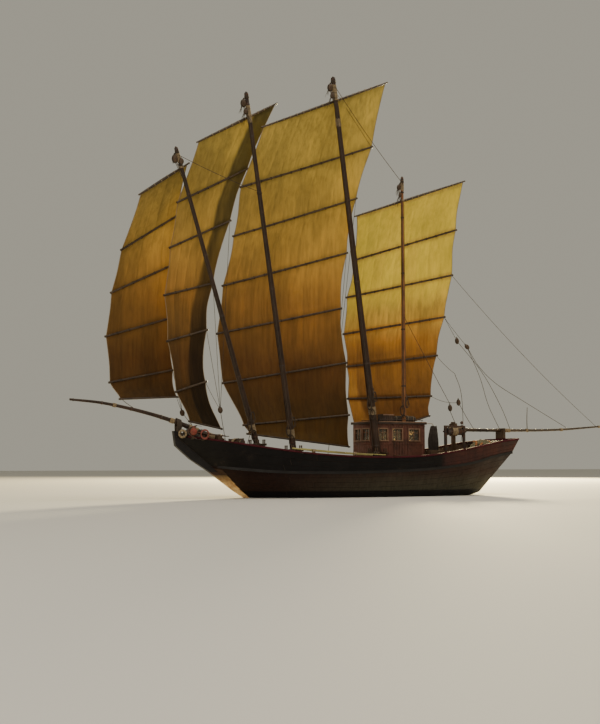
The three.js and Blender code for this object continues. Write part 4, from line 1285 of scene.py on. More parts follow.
def row_path(name, row, steps, offset=0.0):
    return [cloth_place(name, row, s / steps) + vec(0, offset, 0) for s in range(steps + 1)]


def lash(bm, centre, along, reach, wire=0.006):
    for shift in (-0.008, 0.008):
        hoop(bm, centre + along * shift, along, reach, wire, 12, 5)


def add_battens(name):
    bm, ties = blanks(2)
    for row in range(1, panels(name)):
        heavy = longer(row_path(name, row, 10, BATTEN_RADIUS * 0.2), BATTEN_PAST)
        sweep(bm, *knuckled(heavy, BATTEN_RADIUS), 10)
        light = longer(row_path(name, row, 10, -BATTEN_RADIUS * 0.9), BATTEN_PAST * 0.6)
        sweep(bm, *knuckled(light, COUNTER_RADIUS), 8)
        for end, inner in ((heavy[0], heavy[1]), (heavy[-1], heavy[-2])):
            axis = (end - inner).normalized()
            cap = BATTEN_RADIUS + 0.006
            turned(bm, end - axis * 0.03, axis, [
                (0, -0.012), (cap - 0.004, -0.012), (cap, 0.006), (cap - 0.004, 0.030), (0.018, 0.042),
                (0, 0.044),
            ], 12)
        length = (heavy[-1] - heavy[0]).length
        for k in range(1, round(length / LASHING_STEP)):
            u = k * LASHING_STEP / length
            here, ahead = cloth_place(name, row, u), cloth_place(name, row, min(u + 0.01, 1))
            lash(ties, here + vec(0, 0.002, 0), (ahead - here).normalized(), BATTEN_RADIUS + 0.012)
    show(bm, f"sail_{name}_battens", dark_bamboo, f"{name}_sail")
    show(ties, f"sail_{name}_lashings", dark_rope, f"{name}_sail")


def add_boom(name):
    bm = bmesh.new()
    path = longer(row_path(name, panels(name), 10), BOOM_PAST)
    sweep(bm, *knuckled(path, BOOM_RADIUS, 0.85), 12)
    for end, inner in ((path[0], path[1]), (path[-1], path[-2])):
        hoop(bm, end - (end - inner).normalized() * 0.05, end - inner, BOOM_RADIUS, 0.008, 16, 6, 2.2)
    show(bm, f"sail_{name}_foot", dark_bamboo, f"{name}_sail", stands_for=[f"sail_{name}_boom"])


def add_yard(name):
    bm, ties = blanks(2)
    luff, leech = (edge[0] for edge in EDGES[name])
    path = longer([luff, luff.lerp(leech, 0.5), leech], YARD_PAST)
    places, radii = [], []
    for s in range(25):
        t = s / 24
        places.append(path[0].lerp(path[-1], t))
        radii.append(
            (YARD_RADIUS - (YARD_RADIUS - YARD_TIP) * abs(2 * t - 1)) * (1 + dice.uniform(-0.02, 0.02)),
        )
    sweep(bm, places, radii, 16)
    along = (leech - luff).normalized()
    up = mast_up(name)
    cross = crossing(name)
    inside = mast_radius(name, cross.z)
    hoop(ties, cross, up, inside + 0.019, 0.016, 32, 8)
    hoop(ties, cross + up * 0.036, up, inside + 0.019, 0.014, 32, 8)
    for k in range(1, round((leech - luff).length / 0.3)):
        centre = luff + along * (0.3 * k)
        reach = YARD_RADIUS - (YARD_RADIUS - YARD_TIP) * abs(2 * 0.3 * k / (leech - luff).length - 1) + 0.004
        lash(ties, centre, along, reach, 0.007)
    show(bm, f"sail_{name}_head", dark_bamboo, f"{name}_sail", stands_for=[f"sail_{name}_yard"])
    show(ties, f"sail_{name}_robands", rope, f"{name}_sail")


def add_bolt_ropes(name):
    """The roping sewn to the luff and the leech keeps the canvas from tearing between battens."""
    bm = bmesh.new()
    steps = panels(name) * 8
    for u in (0.0, 1.0):
        path = [cloth_place(name, s / 8, u) + vec(0, folds(name, s / 8, u), 0) for s in range(steps + 1)]
        sweep(bm, path, 0.011, 7)
    return show(bm, f"sail_{name}_boltrope", rope, f"{name}_sail")


for name in SAILS:
    add_battens(name)
    add_boom(name)
    add_yard(name)
    hem = add_bolt_ropes(name)

# %% [markdown]
# The forefoot is sheathed against the anchor chain and the net's weights. Copper plates lie over the
# planks between the wale and the waterline, and two caps cover the stem's front edge.

# %% Copper sheathing
SHEATHED_FROM = 0.962                 # station of the plates' aft edge at the wale
STEM_FRONT = [
    # x and z down the stem's front edge, as far as it is sheathed
    (5.79, 0.92), (4.86, 0.27), (4.27, -0.09), (3.70, -0.56),
]
STEM_HALF = 0.095
PLATE_ROWS = 5
PLATE_PROUD = 0.020


def line_end_x(z):
    """Where the hull's end stands behind the stem at a height."""
    ends = [LINES[name][-1] for name in ("rail", "wale", "chine", "keel")]
    for upper, lower in zip(ends, ends[1:]):
        if z >= lower.z:
            return lower.x + (upper.x - lower.x) * (z - lower.z) / (upper.z - lower.z)
    return ends[-1].x


def add_sheathing():
    bm = bmesh.new()
    for side in (1, -1):
        for r in range(PLATE_ROWS):
            shares = (0.10 + 0.95 * r / PLATE_ROWS, 0.10 + 0.95 * (r + 1) / PLATE_ROWS)
            aft = SHEATHED_FROM + 0.035 * r / PLATE_ROWS
            middle = (aft + 1) / 2 + dice.uniform(-0.008, 0.008)
            for span in ((aft, middle - 0.0006), (middle + 0.0006, 0.999)):
                add_plank(bm, "wale", "chine", shares, span, side, PLATE_PROUD)
                for share in (shares[0] + 0.02, shares[1] - 0.02):
                    for s in range(7):
                        t = span[0] + (span[1] - span[0]) * (0.08 + 0.84 * s / 6)
                        nail = hull_point("wale", "chine", share, t, side)
                        ahead = hull_point("wale", "chine", share, min(t + 0.02, 1), side)
                        down = hull_point("wale", "chine", share + 0.05, t, side) - nail
                        out = (ahead - nail).cross(down).normalized() * side
                        stud(bm, nail + out * PLATE_PROUD, 0.006)
    for (x0, z0), (x1, z1) in zip(STEM_FRONT, STEM_FRONT[1:]):
        for k in range(2):
            top = vec(x0, 0, z0).lerp(vec(x1, 0, z1), k / 2 + 0.004)
            low = vec(x0, 0, z0).lerp(vec(x1, 0, z1), (k + 1) / 2 - 0.004)
            rings = []
            for p in (top, low):
                aft = line_end_x(p.z) - 0.02
                outer = [
                    (aft, STEM_HALF + 0.007), (p.x + 0.007, STEM_HALF + 0.007),
                    (p.x + 0.007, -STEM_HALF - 0.007), (aft, -STEM_HALF - 0.007),
                ]
                inner = [
                    (aft, -STEM_HALF - 0.001), (p.x + 0.001, -STEM_HALF - 0.001),
                    (p.x + 0.001, STEM_HALF + 0.001), (aft, STEM_HALF + 0.001),
                ]
                rings.append([vec(x, y, p.z) for x, y in outer + inner])
            extrude_through(bm, rings)
            for side in (1, -1):
                for share in (0.06, 0.35, 0.65, 0.94):
                    for p in (top.lerp(low, 0.06), top.lerp(low, 0.94)):
                        aft = line_end_x(p.z)
                        stud(bm, vec(aft + (p.x - aft) * share, side * (STEM_HALF + 0.007), p.z), 0.006)
    show(bm, "copper_plates", copper)


add_sheathing()

# %% [markdown]
# The bowsprit is a natural crook, thick at the heel and bent down at its tip. The stern pole is one
# giant bamboo. Both lie loose on their rests and are lashed down with many turns of rope.

# %% Bowsprit and stern pole
BOWSPRIT = [(5.25, 2.01), (6.08, 2.30), (7.00, 2.64), (8.21, 2.97), (9.61, 3.24), (10.80, 3.34)]
BOWSPRIT_RADII = (0.100, 0.038)
STERN_POLE = [(-4.25, 2.56), (-7.0, 2.56), (-9.8, 2.62), (-12.3, 2.80)]
STERN_POLE_RADII = (0.072, 0.034)


def wound(bm, start, end, reach, wire):
    """Turns of rope that lie side by side round the line from start to end."""
    along = (end - start).normalized()
    side = along.orthogonal().normalized()
    other = along.cross(side)
    turns = max(3, round((end - start).length / (2.1 * wire)))
    path = []
    for s in range(turns * 12 + 1):
        angle = tau * s / 12
        out = side * cos(angle) + other * sin(angle)
        path.append(start.lerp(end, s / (turns * 12)) + out * reach)
    sweep(bm, path, wire, 6)


def centre_path(points, steps):
    return sampled([vec(x, 0, z) for x, z in points], steps)


def add_bow_and_stern_poles():
    heel, tip = BOWSPRIT_RADII
    bm, ties, iron_rings = blanks(3)
    path = centre_path(BOWSPRIT, 48)
    radii = [(heel + (tip - heel) * s / 48) * (1 + 0.02 * dice.uniform(-1, 1)) for s in range(49)]
    sweep(bm, path, radii, 24)
    show(bm, "bowsprit_pole", spar_wood, stands_for=["bowsprit"])
    for share in (0.035, 0.33, 0.50, 0.66, 0.82, 0.97):
        s = round(share * 48)
        hoop(iron_rings, path[s], path[min(s + 1, 48)] - path[s - 1], radii[s] + 0.004, 0.006, 24, 6, 4.0)
    points = [vec(x, 0, z) for x, z in BOWSPRIT]
    for share, length in ((0.085, 0.30), (0.235, 0.36), (0.42, 0.16), (0.74, 0.12)):
        start = curve_point(points, share)
        end = start + (curve_point(points, share + 0.02) - start).normalized() * length
        wound(ties, start, end, heel + (tip - heel) * share + 0.010, 0.011)
    tail_heel, tail_tip = STERN_POLE_RADII
    pole = bmesh.new()
    places, swells = knuckled(centre_path(STERN_POLE, 24), tail_heel, tail_tip / tail_heel)
    sweep(pole, places, swells, 18)
    show(pole, "stern_pole_bamboo", dark_bamboo, stands_for=["stern_pole"])
    for x, length in ((-4.42, 0.12), (-4.80, 0.26), (-7.06, 0.30), (-9.9, 0.12), (-12.15, 0.10)):
        share = (x - STERN_POLE[0][0]) / (STERN_POLE[-1][0] - STERN_POLE[0][0])
        start = curve_point([vec(a, 0, b) for a, b in STERN_POLE], share)
        reach = tail_heel + (tail_tip - tail_heel) * share + 0.010
        wound(ties, start, start - vec(length, 0, 0), reach, 0.010)
    show(ties, "pole_lashings", rope)
    show(iron_rings, "bowsprit_hoops", iron)


add_bow_and_stern_poles()
for name in ("bowsprit_bitts", "pole_post", "pole_crutch"):
    softened(name, block_wood, 0.012)

# %% [markdown]
# The wheelhouse is boarded upright. Its walls keep the CAD shape with a seam between the boards, and
# the trim stands proud of them: corner posts, a plinth, a moulding under the eaves and a frame with a
# sill round each window, which a cross bar divides into panes.

# %% Wheelhouse walls
HOUSE = {"fore": -0.74, "aft": -3.11, "port": 0.25, "starboard": -1.15, "eave": 2.72}
BOARD_WIDTH = 0.125
SILL, HEAD = 2.11, 2.52
WINDOWS = {
    "fore": [(-1.01, -0.59), (-0.44, 0.06)],
    "port": [(-1.42, -1.06), (-2.08, -1.68), (-2.86, -2.42)],
    "starboard": [(-1.56, -1.10), (-2.26, -1.76), (-2.90, -2.50)],
}
DOORWAY = {"from": -1.01, "to": -0.43, "head": 2.59}


def faces_across(axis):
    return lambda face: abs(face.normal[axis]) > 0.95


def add_walls():
    length = spaced(HOUSE["aft"], HOUSE["fore"], BOARD_WIDTH, 0.006)
    across = spaced(HOUSE["starboard"], HOUSE["port"], BOARD_WIDTH, 0.006)
    for name, axis, places, faced in (
        ("port", AHEAD, length, 1), ("starboard", AHEAD, length, 1),
        ("fore", ABEAM, across, 0), ("aft", ABEAM, across, 0),
    ):
        boards = (axis, places, 0.007, 0.005, faces_across(faced))
        softened(f"house_wall_{name}", house_paint, 0.003, [boards])


def on_wall(wall, along, z, proud):
    """A point a little outside a wall: along is x on the side walls and y on the fore wall."""
    if wall == "fore":
        return vec(HOUSE["fore"] + proud, along, z)
    side = 1 if wall == "port" else -1
    return vec(along, HOUSE[wall] + side * proud, z)


def trim_bar(bm, wall, start, end, wide, thick, proud=0.0):
    """A bar on a wall from (along, z) to (along, z), as wide as given and thick."""
    a = on_wall(wall, start[0], start[1], proud + thick / 2)
    b = on_wall(wall, end[0], end[1], proud + thick / 2)
    low = vec(min(a.x, b.x), min(a.y, b.y), min(a.z, b.z))
    high = vec(max(a.x, b.x), max(a.y, b.y), max(a.z, b.z))
    grow = Vector([thick / 2 if axis == (0 if wall == "fore" else 1) else 0 for axis in range(3)])
    flat = 2 if abs(start[1] - end[1]) < 1e-6 else (1 if wall == "fore" else 0)
    grow[flat] += wide / 2
    block(bm, low - grow, high + grow, 0.003)


def add_window_trim():
    frames, bars = blanks(2)
    for wall, spans in WINDOWS.items():
        for low, high in spans:
            out = 0.026
            trim_bar(frames, wall, (low - out, SILL - 0.05), (low - out, HEAD + 0.05), 0.046, 0.014)
            trim_bar(frames, wall, (high + out, SILL - 0.05), (high + out, HEAD + 0.05), 0.046, 0.014)
            trim_bar(frames, wall, (low - 0.003, HEAD + out), (high + 0.003, HEAD + out), 0.046, 0.014)
            trim_bar(frames, wall, (low - 0.06, SILL - out), (high + 0.06, SILL - out), 0.044, 0.034)
            middle = (low + high) / 2
            trim_bar(bars, wall, (middle, SILL), (middle, HEAD), 0.020, 0.020, -0.036)
            trim_bar(bars, wall, (low, HEAD - 0.13), (high, HEAD - 0.13), 0.016, 0.018, -0.036)
    show(frames, "window_frames", trim_paint)
    show(bars, "window_bars", trim_paint)


def add_corner_trim():
    bm = bmesh.new()
    foot = {x: deck_z(x) + 0.004 for x in (HOUSE["fore"], HOUSE["aft"])}
    for x in (HOUSE["fore"], HOUSE["aft"]):
        for y, side in ((HOUSE["port"], 1), (HOUSE["starboard"], -1)):
            ahead = 1 if x == HOUSE["fore"] else -1
            thick = 0.003 if ahead > side else 0.012      # the mizzen's boom swings past this corner
            top = HOUSE["eave"] - 0.002
            for spans in ((-0.055, thick - 0.002, -0.001, thick), (0.001, thick, -0.055, thick - 0.002)):
                xs = sorted(x + ahead * span for span in spans[:2])
                ys = sorted(y + side * span for span in spans[2:])
                block(bm, (xs[0], ys[0], foot[x]), (xs[1], ys[1], top), min(0.003, thick / 3))
    for wall in ("port", "starboard"):
        start, end = HOUSE["aft"] + 0.056, HOUSE["fore"] - 0.056
        trim_bar(bm, wall, (start, HOUSE["eave"] - 0.03), (end, HOUSE["eave"] - 0.03), 0.05, 0.016)
        trim_bar(bm, wall, (start, 1.96), (end, 1.96), 0.05, 0.012)
        for k in range(6):
            a = start + (end - start) * k / 6
            b = start + (end - start) * (k + 1) / 6
            z = max(deck_z(a), deck_z(b)) + 0.06
            trim_bar(bm, wall, (a, z), (b - 0.002, z), 0.10, 0.014)
    for z, wide in ((HOUSE["eave"] - 0.03, 0.05), (1.96, 0.05), (deck_z(HOUSE["fore"]) + 0.06, 0.10)):
        trim_bar(bm, "fore", (HOUSE["starboard"] + 0.056, z), (HOUSE["port"] - 0.056, z), wide, 0.014)
    show(bm, "house_trim", house_paint)


add_walls()
add_window_trim()
add_corner_trim()
for name in ("fore", "port", "starboard"):
    softened(f"house_glass_{name}", glass, 0.001)

# %% [markdown]
# The roof is boarded, with a raised edge. On it are the gear box, two rolled tarpaulins tied with
# rope, a hand rail along each side and the engine's exhaust with its flap.

# %% Wheelhouse roof
ROOF_TOP, BOX_TOP = 2.79, 3.1106
ROOF_LAP = 0.07


def add_roof():
    across = spaced(HOUSE["starboard"] - ROOF_LAP, HOUSE["port"] + ROOF_LAP, 0.14)
    softened("house_roof", roof_paint, 0.012, [(ABEAM, across, 0.006, 0.004, faces_across(2))])
    bm = bmesh.new()
    fore, aft = HOUSE["fore"] + ROOF_LAP, HOUSE["aft"] - ROOF_LAP
    port, starboard = HOUSE["port"] + ROOF_LAP, HOUSE["starboard"] - ROOF_LAP
    z = ROOF_TOP + 0.001
    block(bm, (aft, port - 0.03, z), (-1.02, port, z + 0.028), 0.006)
    block(bm, (aft, starboard, z), (fore, starboard + 0.03, z + 0.028), 0.006)
    block(bm, (fore - 0.03, starboard + 0.031, z), (fore, 0.20, z + 0.028), 0.006)
    block(bm, (aft, starboard + 0.031, z), (aft + 0.03, port - 0.031, z + 0.028), 0.006)
    show(bm, "roof_edge", trim_paint, slot="roof_paint")
    rails = bmesh.new()
    for y in (port - 0.09, starboard + 0.09):
        path = [vec(aft + 0.12, y, z + 0.10), vec(-2.0, y, z + 0.105), vec(-1.10, y, z + 0.10)]
        sweep(rails, sampled(path, 12), 0.014)
        for x in (aft + 0.16, -2.4, -1.75, -1.14):
            turned(
                rails, vec(x, y, z), UP,
                [(0, 0), (0.03, 0), (0.028, 0.01), (0.010, 0.02), (0.010, 0.10), (0, 0.10)], 12,
            )
    show(rails, "roof_rails", iron)


def add_roof_gear():
    softened("roof_box", roof_paint, 0.008)
    bm = bmesh.new()
    top = BOX_TOP
    for x in spaced(-1.87, -1.40, 0.094):
        block(bm, (x - 0.0025, -0.415, top - 0.30), (x + 0.0025, 0.0225, top - 0.02), 0.001)
    block(bm, (-1.885, -0.435, top - 0.05), (-1.385, -0.421, top - 0.01))
    block(bm, (-1.885, 0.021, top - 0.05), (-1.385, 0.035, top - 0.01))
    show(bm, "roof_box_trim", trim_paint, slot="roof_paint")
    roll, ties = blanks(2)
    start, end = vec(-2.95, -0.12, ROOF_TOP + 0.145), vec(-2.02, -0.30, ROOF_TOP + 0.150)
    places = [start.lerp(end, s / 30) + vec(0, 0, 0.008 * sin(s * 1.3)) for s in range(31)]
    radii = [
        0.125 * (1 + 0.10 * sin(s * 0.9) * sin(s * 0.31)) * min(1, 0.45 + s * 0.2, 0.45 + (30 - s) * 0.2)
        for s in range(31)
    ]
    sweep(roll, places, radii, 20)
    second = [p + vec(0.10, -0.23, -0.035) for p in places]
    sweep(roll, second, [r * 0.78 for r in radii], 18)
    show(roll, "rolled_tarpaulins", tarpaulin)
    for share in (0.15, 0.38, 0.62, 0.85):
        s = round(share * 30)
        hoop(ties, places[s], end - start, radii[s] + 0.008, 0.009, 24, 6)
        hoop(ties, second[s], end - start, radii[s] * 0.78 + 0.008, 0.008, 24, 6)
    show(ties, "tarpaulin_ties", rope)


def add_exhaust():
    bm = bmesh.new()
    foot = vec(-2.86, -0.85, ROOF_TOP + 0.0006)
    turned(bm, foot, UP, [
        (0, 0), (0.105, 0), (0.105, 0.012), (0.062, 0.016), (0.056, 0.03), (0.055, 0.20), (0.062, 0.205),
        (0.062, 0.245), (0.055, 0.25), (0.055, 0.42), (0.060, 0.425), (0.060, 0.50), (0.050, 0.515),
        (0.044, 0.515), (0.044, 0.44), (0, 0.44),
    ], 28)
    for k in range(6):
        angle = tau * k / 6
        stud(bm, foot + vec(0.085 * cos(angle), 0.085 * sin(angle), 0.014), 0.010)
    flap = Matrix.Translation(foot + vec(-0.055, 0, 0.548)) @ Matrix.Rotation(radians(-28), 4, "Y")
    beam(bm, (0.115, 0.115, 0.006), flap, 0.002)
    block(bm, foot + vec(-0.075, -0.012, 0.47), foot + vec(-0.058, 0.012, 0.53), 0.002)
    show(bm, "exhaust_stack", iron, stands_for=["exhaust_pipe"])


tarpaulin = make_rope("tarpaulin", (0.075, 0.058, 0.042), (0.028, 0.021, 0.016), 12.0)
add_roof()
add_roof_gear()
add_exhaust()

# %% [markdown]
# The door slides to port on a rail. It is framed and boarded, with a pane in its upper half.

# %% Wheelhouse door
def add_door():
    low, high = DOORWAY["from"] - 0.015, DOORWAY["to"] + 0.025
    softened("house_door", door_paint, 0.004, [
        (ABEAM, spaced(low, high, 0.105), 0.006, 0.004, faces_across(0)),
    ])
    bm, pane = blanks(2)
    outer = HOUSE["aft"] - 0.006 - 0.032
    for y0, y1, z0, z1 in (
        (low + 0.004, low + 0.075, 1.31, 2.61), (high - 0.075, high - 0.004, 1.31, 2.61),
        (low + 0.076, high - 0.076, 1.31, 1.42), (low + 0.076, high - 0.076, 1.95, 2.07),
        (low + 0.076, high - 0.076, 2.51, 2.61),
    ):
        block(bm, (outer - 0.010, y0, z0), (outer + 0.001, y1, z1), 0.003)
    block(
        bm, (outer + 0.008, (low + high) / 2 - 0.01, 2.08), (outer + 0.022, (low + high) / 2 + 0.01, 2.50),
        0.002,
    )
    block(pane, (outer + 0.012, low + 0.09, 2.075), (outer + 0.018, high - 0.09, 2.505), 0.001)
    show(bm, "door_frame", door_paint, "door")
    show(pane, "door_pane", glass, "door")
    guides = bmesh.new()
    top, end = DOORWAY["head"], HOUSE["aft"]
    block(guides, (outer - 0.014, -1.08, top + 0.055), (end - 0.001, 0.24, top + 0.055 + 0.028))
    for y in (-1.05, -0.45, 0.20):
        block(guides, (outer - 0.016, y - 0.02, top + 0.05), (end - 0.002, y + 0.02, top + 0.088), 0.003)
    show(guides, "door_guides", iron)


add_door()

# %% [markdown]
# Inside, the helm: a desk with a compass bowl, a throttle lever and plain dials, and a spoked wheel.

# %% Helm
WHEEL_CENTRE = vec(-1.13, -0.42, 1.93)
WHEEL_RADIUS = 0.21
SPOKES = 6


def add_wheel():
    bm, caps = blanks(2)
    axis = AHEAD
    hoop(bm, WHEEL_CENTRE, axis, WHEEL_RADIUS - 0.035, 0.017, 36, 10, 1.25)
    for k in range(SPOKES):
        angle = tau * k / SPOKES + pi / 2
        out = vec(0, cos(angle), sin(angle))
        turned(bm, WHEEL_CENTRE, out, [
            (0.012, 0.035), (0.010, 0.06), (0.015, 0.09), (0.010, 0.12), (0.013, 0.158), (0.009, 0.198),
            (0.015, 0.225), (0.016, 0.255), (0.009, 0.278), (0, 0.282),
        ], 12)
    turned(bm, WHEEL_CENTRE - axis * 0.030, axis, [
        (0.014, 0), (0.040, 0.004), (0.046, 0.020), (0.046, 0.040), (0.040, 0.055), (0.014, 0.058),
    ], 24)
    show(bm, "wheel_rim", block_wood, "helm", stands_for=["steering_wheel"])
    hoop(caps, WHEEL_CENTRE - axis * 0.032, axis, 0.026, 0.005, 24, 6)
    show(caps, "wheel_cap", bronze, "helm")


def add_desk():
    softened("helm_desk", house_paint, 0.006)
    bm, brass = blanks(2)
    fore, aft = -0.806, -1.07
    block(bm, (aft - 0.002, -1.067, 2.0405), (fore, 0.059, 2.062), 0.006)
    for y in (-0.95, -0.12):
        block(bm, (aft - 0.012, y - 0.13, 1.50), (aft - 0.001, y + 0.13, 1.86))
        stud(bm, vec(aft - 0.018, y + 0.09, 1.68), 0.012)
    show(bm, "desk_top", block_wood)
    bowl = vec(-0.93, -0.42, 2.062)
    turned(brass, bowl, UP, [
        (0, 0), (0.085, 0), (0.080, 0.012), (0.060, 0.020), (0.072, 0.055), (0.078, 0.085), (0.070, 0.085),
        (0.062, 0.060), (0, 0.052),
    ], 28)
    lever = vec(-0.95, -0.72, 2.062)
    turned(brass, lever, UP, [(0, 0), (0.045, 0), (0.040, 0.025), (0.015, 0.030), (0, 0.030)])
    sweep(
        brass, [lever + vec(0, 0, 0.02), lever + vec(-0.03, 0, 0.10), lever + vec(-0.05, 0, 0.15)], 0.007, 8,
    )
    stud(brass, lever + vec(-0.05, 0, 0.155), 0.018)
    for y in (-0.14, -0.02):
        turned(brass, vec(-0.86, y, 2.062), vec(-0.4, 0, 1), [
            (0, 0), (0.046, 0), (0.046, 0.022), (0.040, 0.026), (0.038, 0.020), (0, 0.020),
        ], 24)
    show(brass, "helm_instruments", bronze)


add_wheel()
add_desk()

# %% [markdown]
# Hatches. The coamings are four planks joined at the corners, and each lid is boarded, with iron
# straps over its boards and a ring at each end.

# %% Hatches
HATCHES = {
    # opening x0, x1, y0, y1, top of the coaming, body, hinge edge
    "fore_hold": (2.88, 3.48, -0.42, 0.18, 1.39, "fore_lid", "fore"),
    "fish_hold": (1.15, 1.90, -0.45, 0.45, 1.16, "fish_lid", "fore"),
    "engine": (-4.42, -3.52, -0.40, 0.40, 1.51, "engine_hatch", "starboard"),
}
LID_LAP, LID_THICK = 0.052, 0.045


def add_hatch(name):
    x0, x1, y0, y1, top, body, hinge = HATCHES[name]
    softened(f"{name}_coaming", deck_wood, 0.006)
    low, high = (x0 - LID_LAP, y0 - LID_LAP), (x1 + LID_LAP, y1 + LID_LAP)
    axis = 1 if hinge == "fore" else 0
    normal = ABEAM if axis == 1 else AHEAD
    softened(f"{name}_lid", deck_wood, 0.005, [
        (normal, spaced(low[axis], high[axis], 0.13), 0.006, 0.005, faces_across(2)),
    ])
    bm = bmesh.new()
    z = top + LID_THICK
    for share in (0.18, 0.82):
        if axis == 1:
            x = low[0] + (high[0] - low[0]) * share
            block(bm, (x - 0.02, low[1] + 0.004, z - 0.001), (x + 0.02, high[1] - 0.004, z + 0.007), 0.002)
            spots = [vec(x, low[1] + (high[1] - low[1]) * k / 6, z + 0.007) for k in range(1, 6)]
        else:
            y = low[1] + (high[1] - low[1]) * share
            block(bm, (low[0] + 0.004, y - 0.02, z - 0.001), (high[0] - 0.004, y + 0.02, z + 0.007), 0.002)
            spots = [vec(low[0] + (high[0] - low[0]) * k / 6, y, z + 0.007) for k in range(1, 6)]
        for spot in spots:
            stud(bm, spot, 0.009)
        end = spots[0] if axis == 1 else spots[-1]
        hoop(bm, end + vec(0, 0, 0.012), vec(0.3, 0.2, 1), 0.045, 0.006, 20, 6)
    show(bm, f"{name}_irons", iron, body)


for name in HATCHES:
    add_hatch(name)

# %% [markdown]
# The anchor windlass forward: a whelped barrel between two cheeks, pawl teeth at its ends, a
# warping head at each side and two turns of rope on one of them.

# %% Windlass
WINDLASS = vec(4.75, 0, 1.96)
WINDLASS_REACH = 0.37


def add_barrel(bm, centre, axis, half, radius, whelps):
    """A drum with raised whelps and a flange at each end."""
    start = centre - axis * half
    turned(bm, start, axis, [
        (0, 0), (radius + 0.022, 0), (radius + 0.022, 0.020), (radius - 0.016, 0.026),
        (radius - 0.016, 2 * half - 0.026), (radius + 0.022, 2 * half - 0.020), (radius + 0.022, 2 * half),
        (0, 2 * half),
    ], 36)
    out = axis.orthogonal().normalized()
    for k in range(whelps):
        spin = Matrix.Rotation(tau * k / whelps, 4, axis)
        seat = Matrix.Translation(out * (radius - 0.008)) @ between(-axis, axis)
        beam(bm, (2 * half - 0.056, 0.028, 0.020), Matrix.Translation(centre) @ spin @ seat, 0.005)


def add_windlass():
    softened("windlass_frame", block_wood, 0.012)
    bm, metal, line = blanks(3)
    axis = ABEAM
    add_barrel(bm, WINDLASS, axis, WINDLASS_REACH - 0.010, 0.116, 10)
    show(bm, "windlass_barrel", block_wood, "windlass", stands_for=["windlass_drum"])
    for side in (1, -1):
        start = WINDLASS + axis * side * (WINDLASS_REACH - 0.06)
        for k in range(16):
            spin = Matrix.Rotation(tau * k / 16, 4, "Y")
            tooth = Matrix.Translation(vec(0.124, 0, 0)) @ Matrix.Rotation(0.5, 4, "Y")
            beam(metal, (0.030, 0.030, 0.016), Matrix.Translation(start) @ spin @ tooth, 0.003)
        turned(metal, WINDLASS + axis * side * 0.448, axis * side, [
            (0, 0), (0.082, 0), (0.084, 0.010), (0.062, 0.030), (0.056, 0.060), (0.066, 0.090),
            (0.096, 0.112), (0.096, 0.122), (0.030, 0.126), (0, 0.126),
        ], 32)
        turned(
            metal, WINDLASS + axis * side * 0.366, axis * side, [(0.026, 0), (0.026, 0.084), (0, 0.084)], 16,
        )
    wound(line, WINDLASS + axis * 0.470, WINDLASS + axis * 0.520, 0.074, 0.013)
    wound(line, WINDLASS - axis * 0.12, WINDLASS + axis * 0.10, 0.142, 0.014)
    show(metal, "windlass_irons", iron, "windlass")
    show(line, "windlass_rope", rope, "windlass")
    caps = bmesh.new()
    for side in (1, -1):
        y = side * 0.405
        block(caps, (4.632, y - 0.042, 2.086), (4.868, y + 0.042, 2.098), 0.003)
        for x in (4.66, 4.84):
            stud(caps, vec(x, y, 2.100), 0.014)
            block(caps, (x - 0.012, y - 0.041, 1.86), (x + 0.012, y + 0.041, 2.09), 0.003)
    show(caps, "windlass_caps", iron)


add_windlass()

# %% [markdown]
# The net hauler aft of the wheelhouse: an iron goal post with a long roller, a chain case at one
# end and lamp brackets on its bar.

# %% Net hauler
HAULER = vec(-3.95, 1.08, 2.44)


def add_hauler():
    softened("hauler_frame", iron, 0.008)
    bm, fixed, line = blanks(3)
    axis = AHEAD
    add_barrel(bm, HAULER, axis, 0.370, 0.124, 8)
    for side in (1, -1):
        turned(
            bm, HAULER + axis * side * 0.369, axis * side,
            [(0.026, 0), (0.026, 0.150), (0.034, 0.152), (0.034, 0.158), (0, 0.158)], 16,
        )
    show(bm, "hauler_roller", iron, "hauler", stands_for=["hauler_drum"])
    wound(line, HAULER - axis * 0.10, HAULER + axis * 0.14, 0.144, 0.011)
    show(line, "hauler_line", rope, "hauler")
    for x in (-4.42, -3.48):
        side = -1 if x < -4 else 1
        for z in (1.45, 1.75, 2.05, 2.60):
            for y in (1.055, 1.105):
                stud(fixed, vec(x + side * 0.001, y, z), 0.011)
    block(fixed, (-4.330, 1.030, 2.672), (-4.250, 1.130, 2.684), 0.003)
    turned(fixed, vec(-4.29, 1.08, 2.684), UP, [
        (0, 0), (0.012, 0), (0.012, 0.05), (0.055, 0.06), (0.060, 0.075), (0.060, 0.13), (0.045, 0.15),
        (0.015, 0.165), (0, 0.165),
    ])
    for z in (1.62, 1.78):
        block(fixed, (-3.55, 1.038, z), (-3.40, 1.122, z + 0.012), 0.003)
    show(fixed, "hauler_fittings", iron)


add_hauler()

# %% [markdown]
# The engine stands under its own lid: bed rails, a crankcase, three heads, a flywheel and pipes, all
# inside the plain block that the frame keeps for it.

# %% Engine
ENGINE_LOW = vec(-4.35, -0.31, 0.1303)
ENGINE_HIGH = vec(-3.59, 0.31, 0.8903)


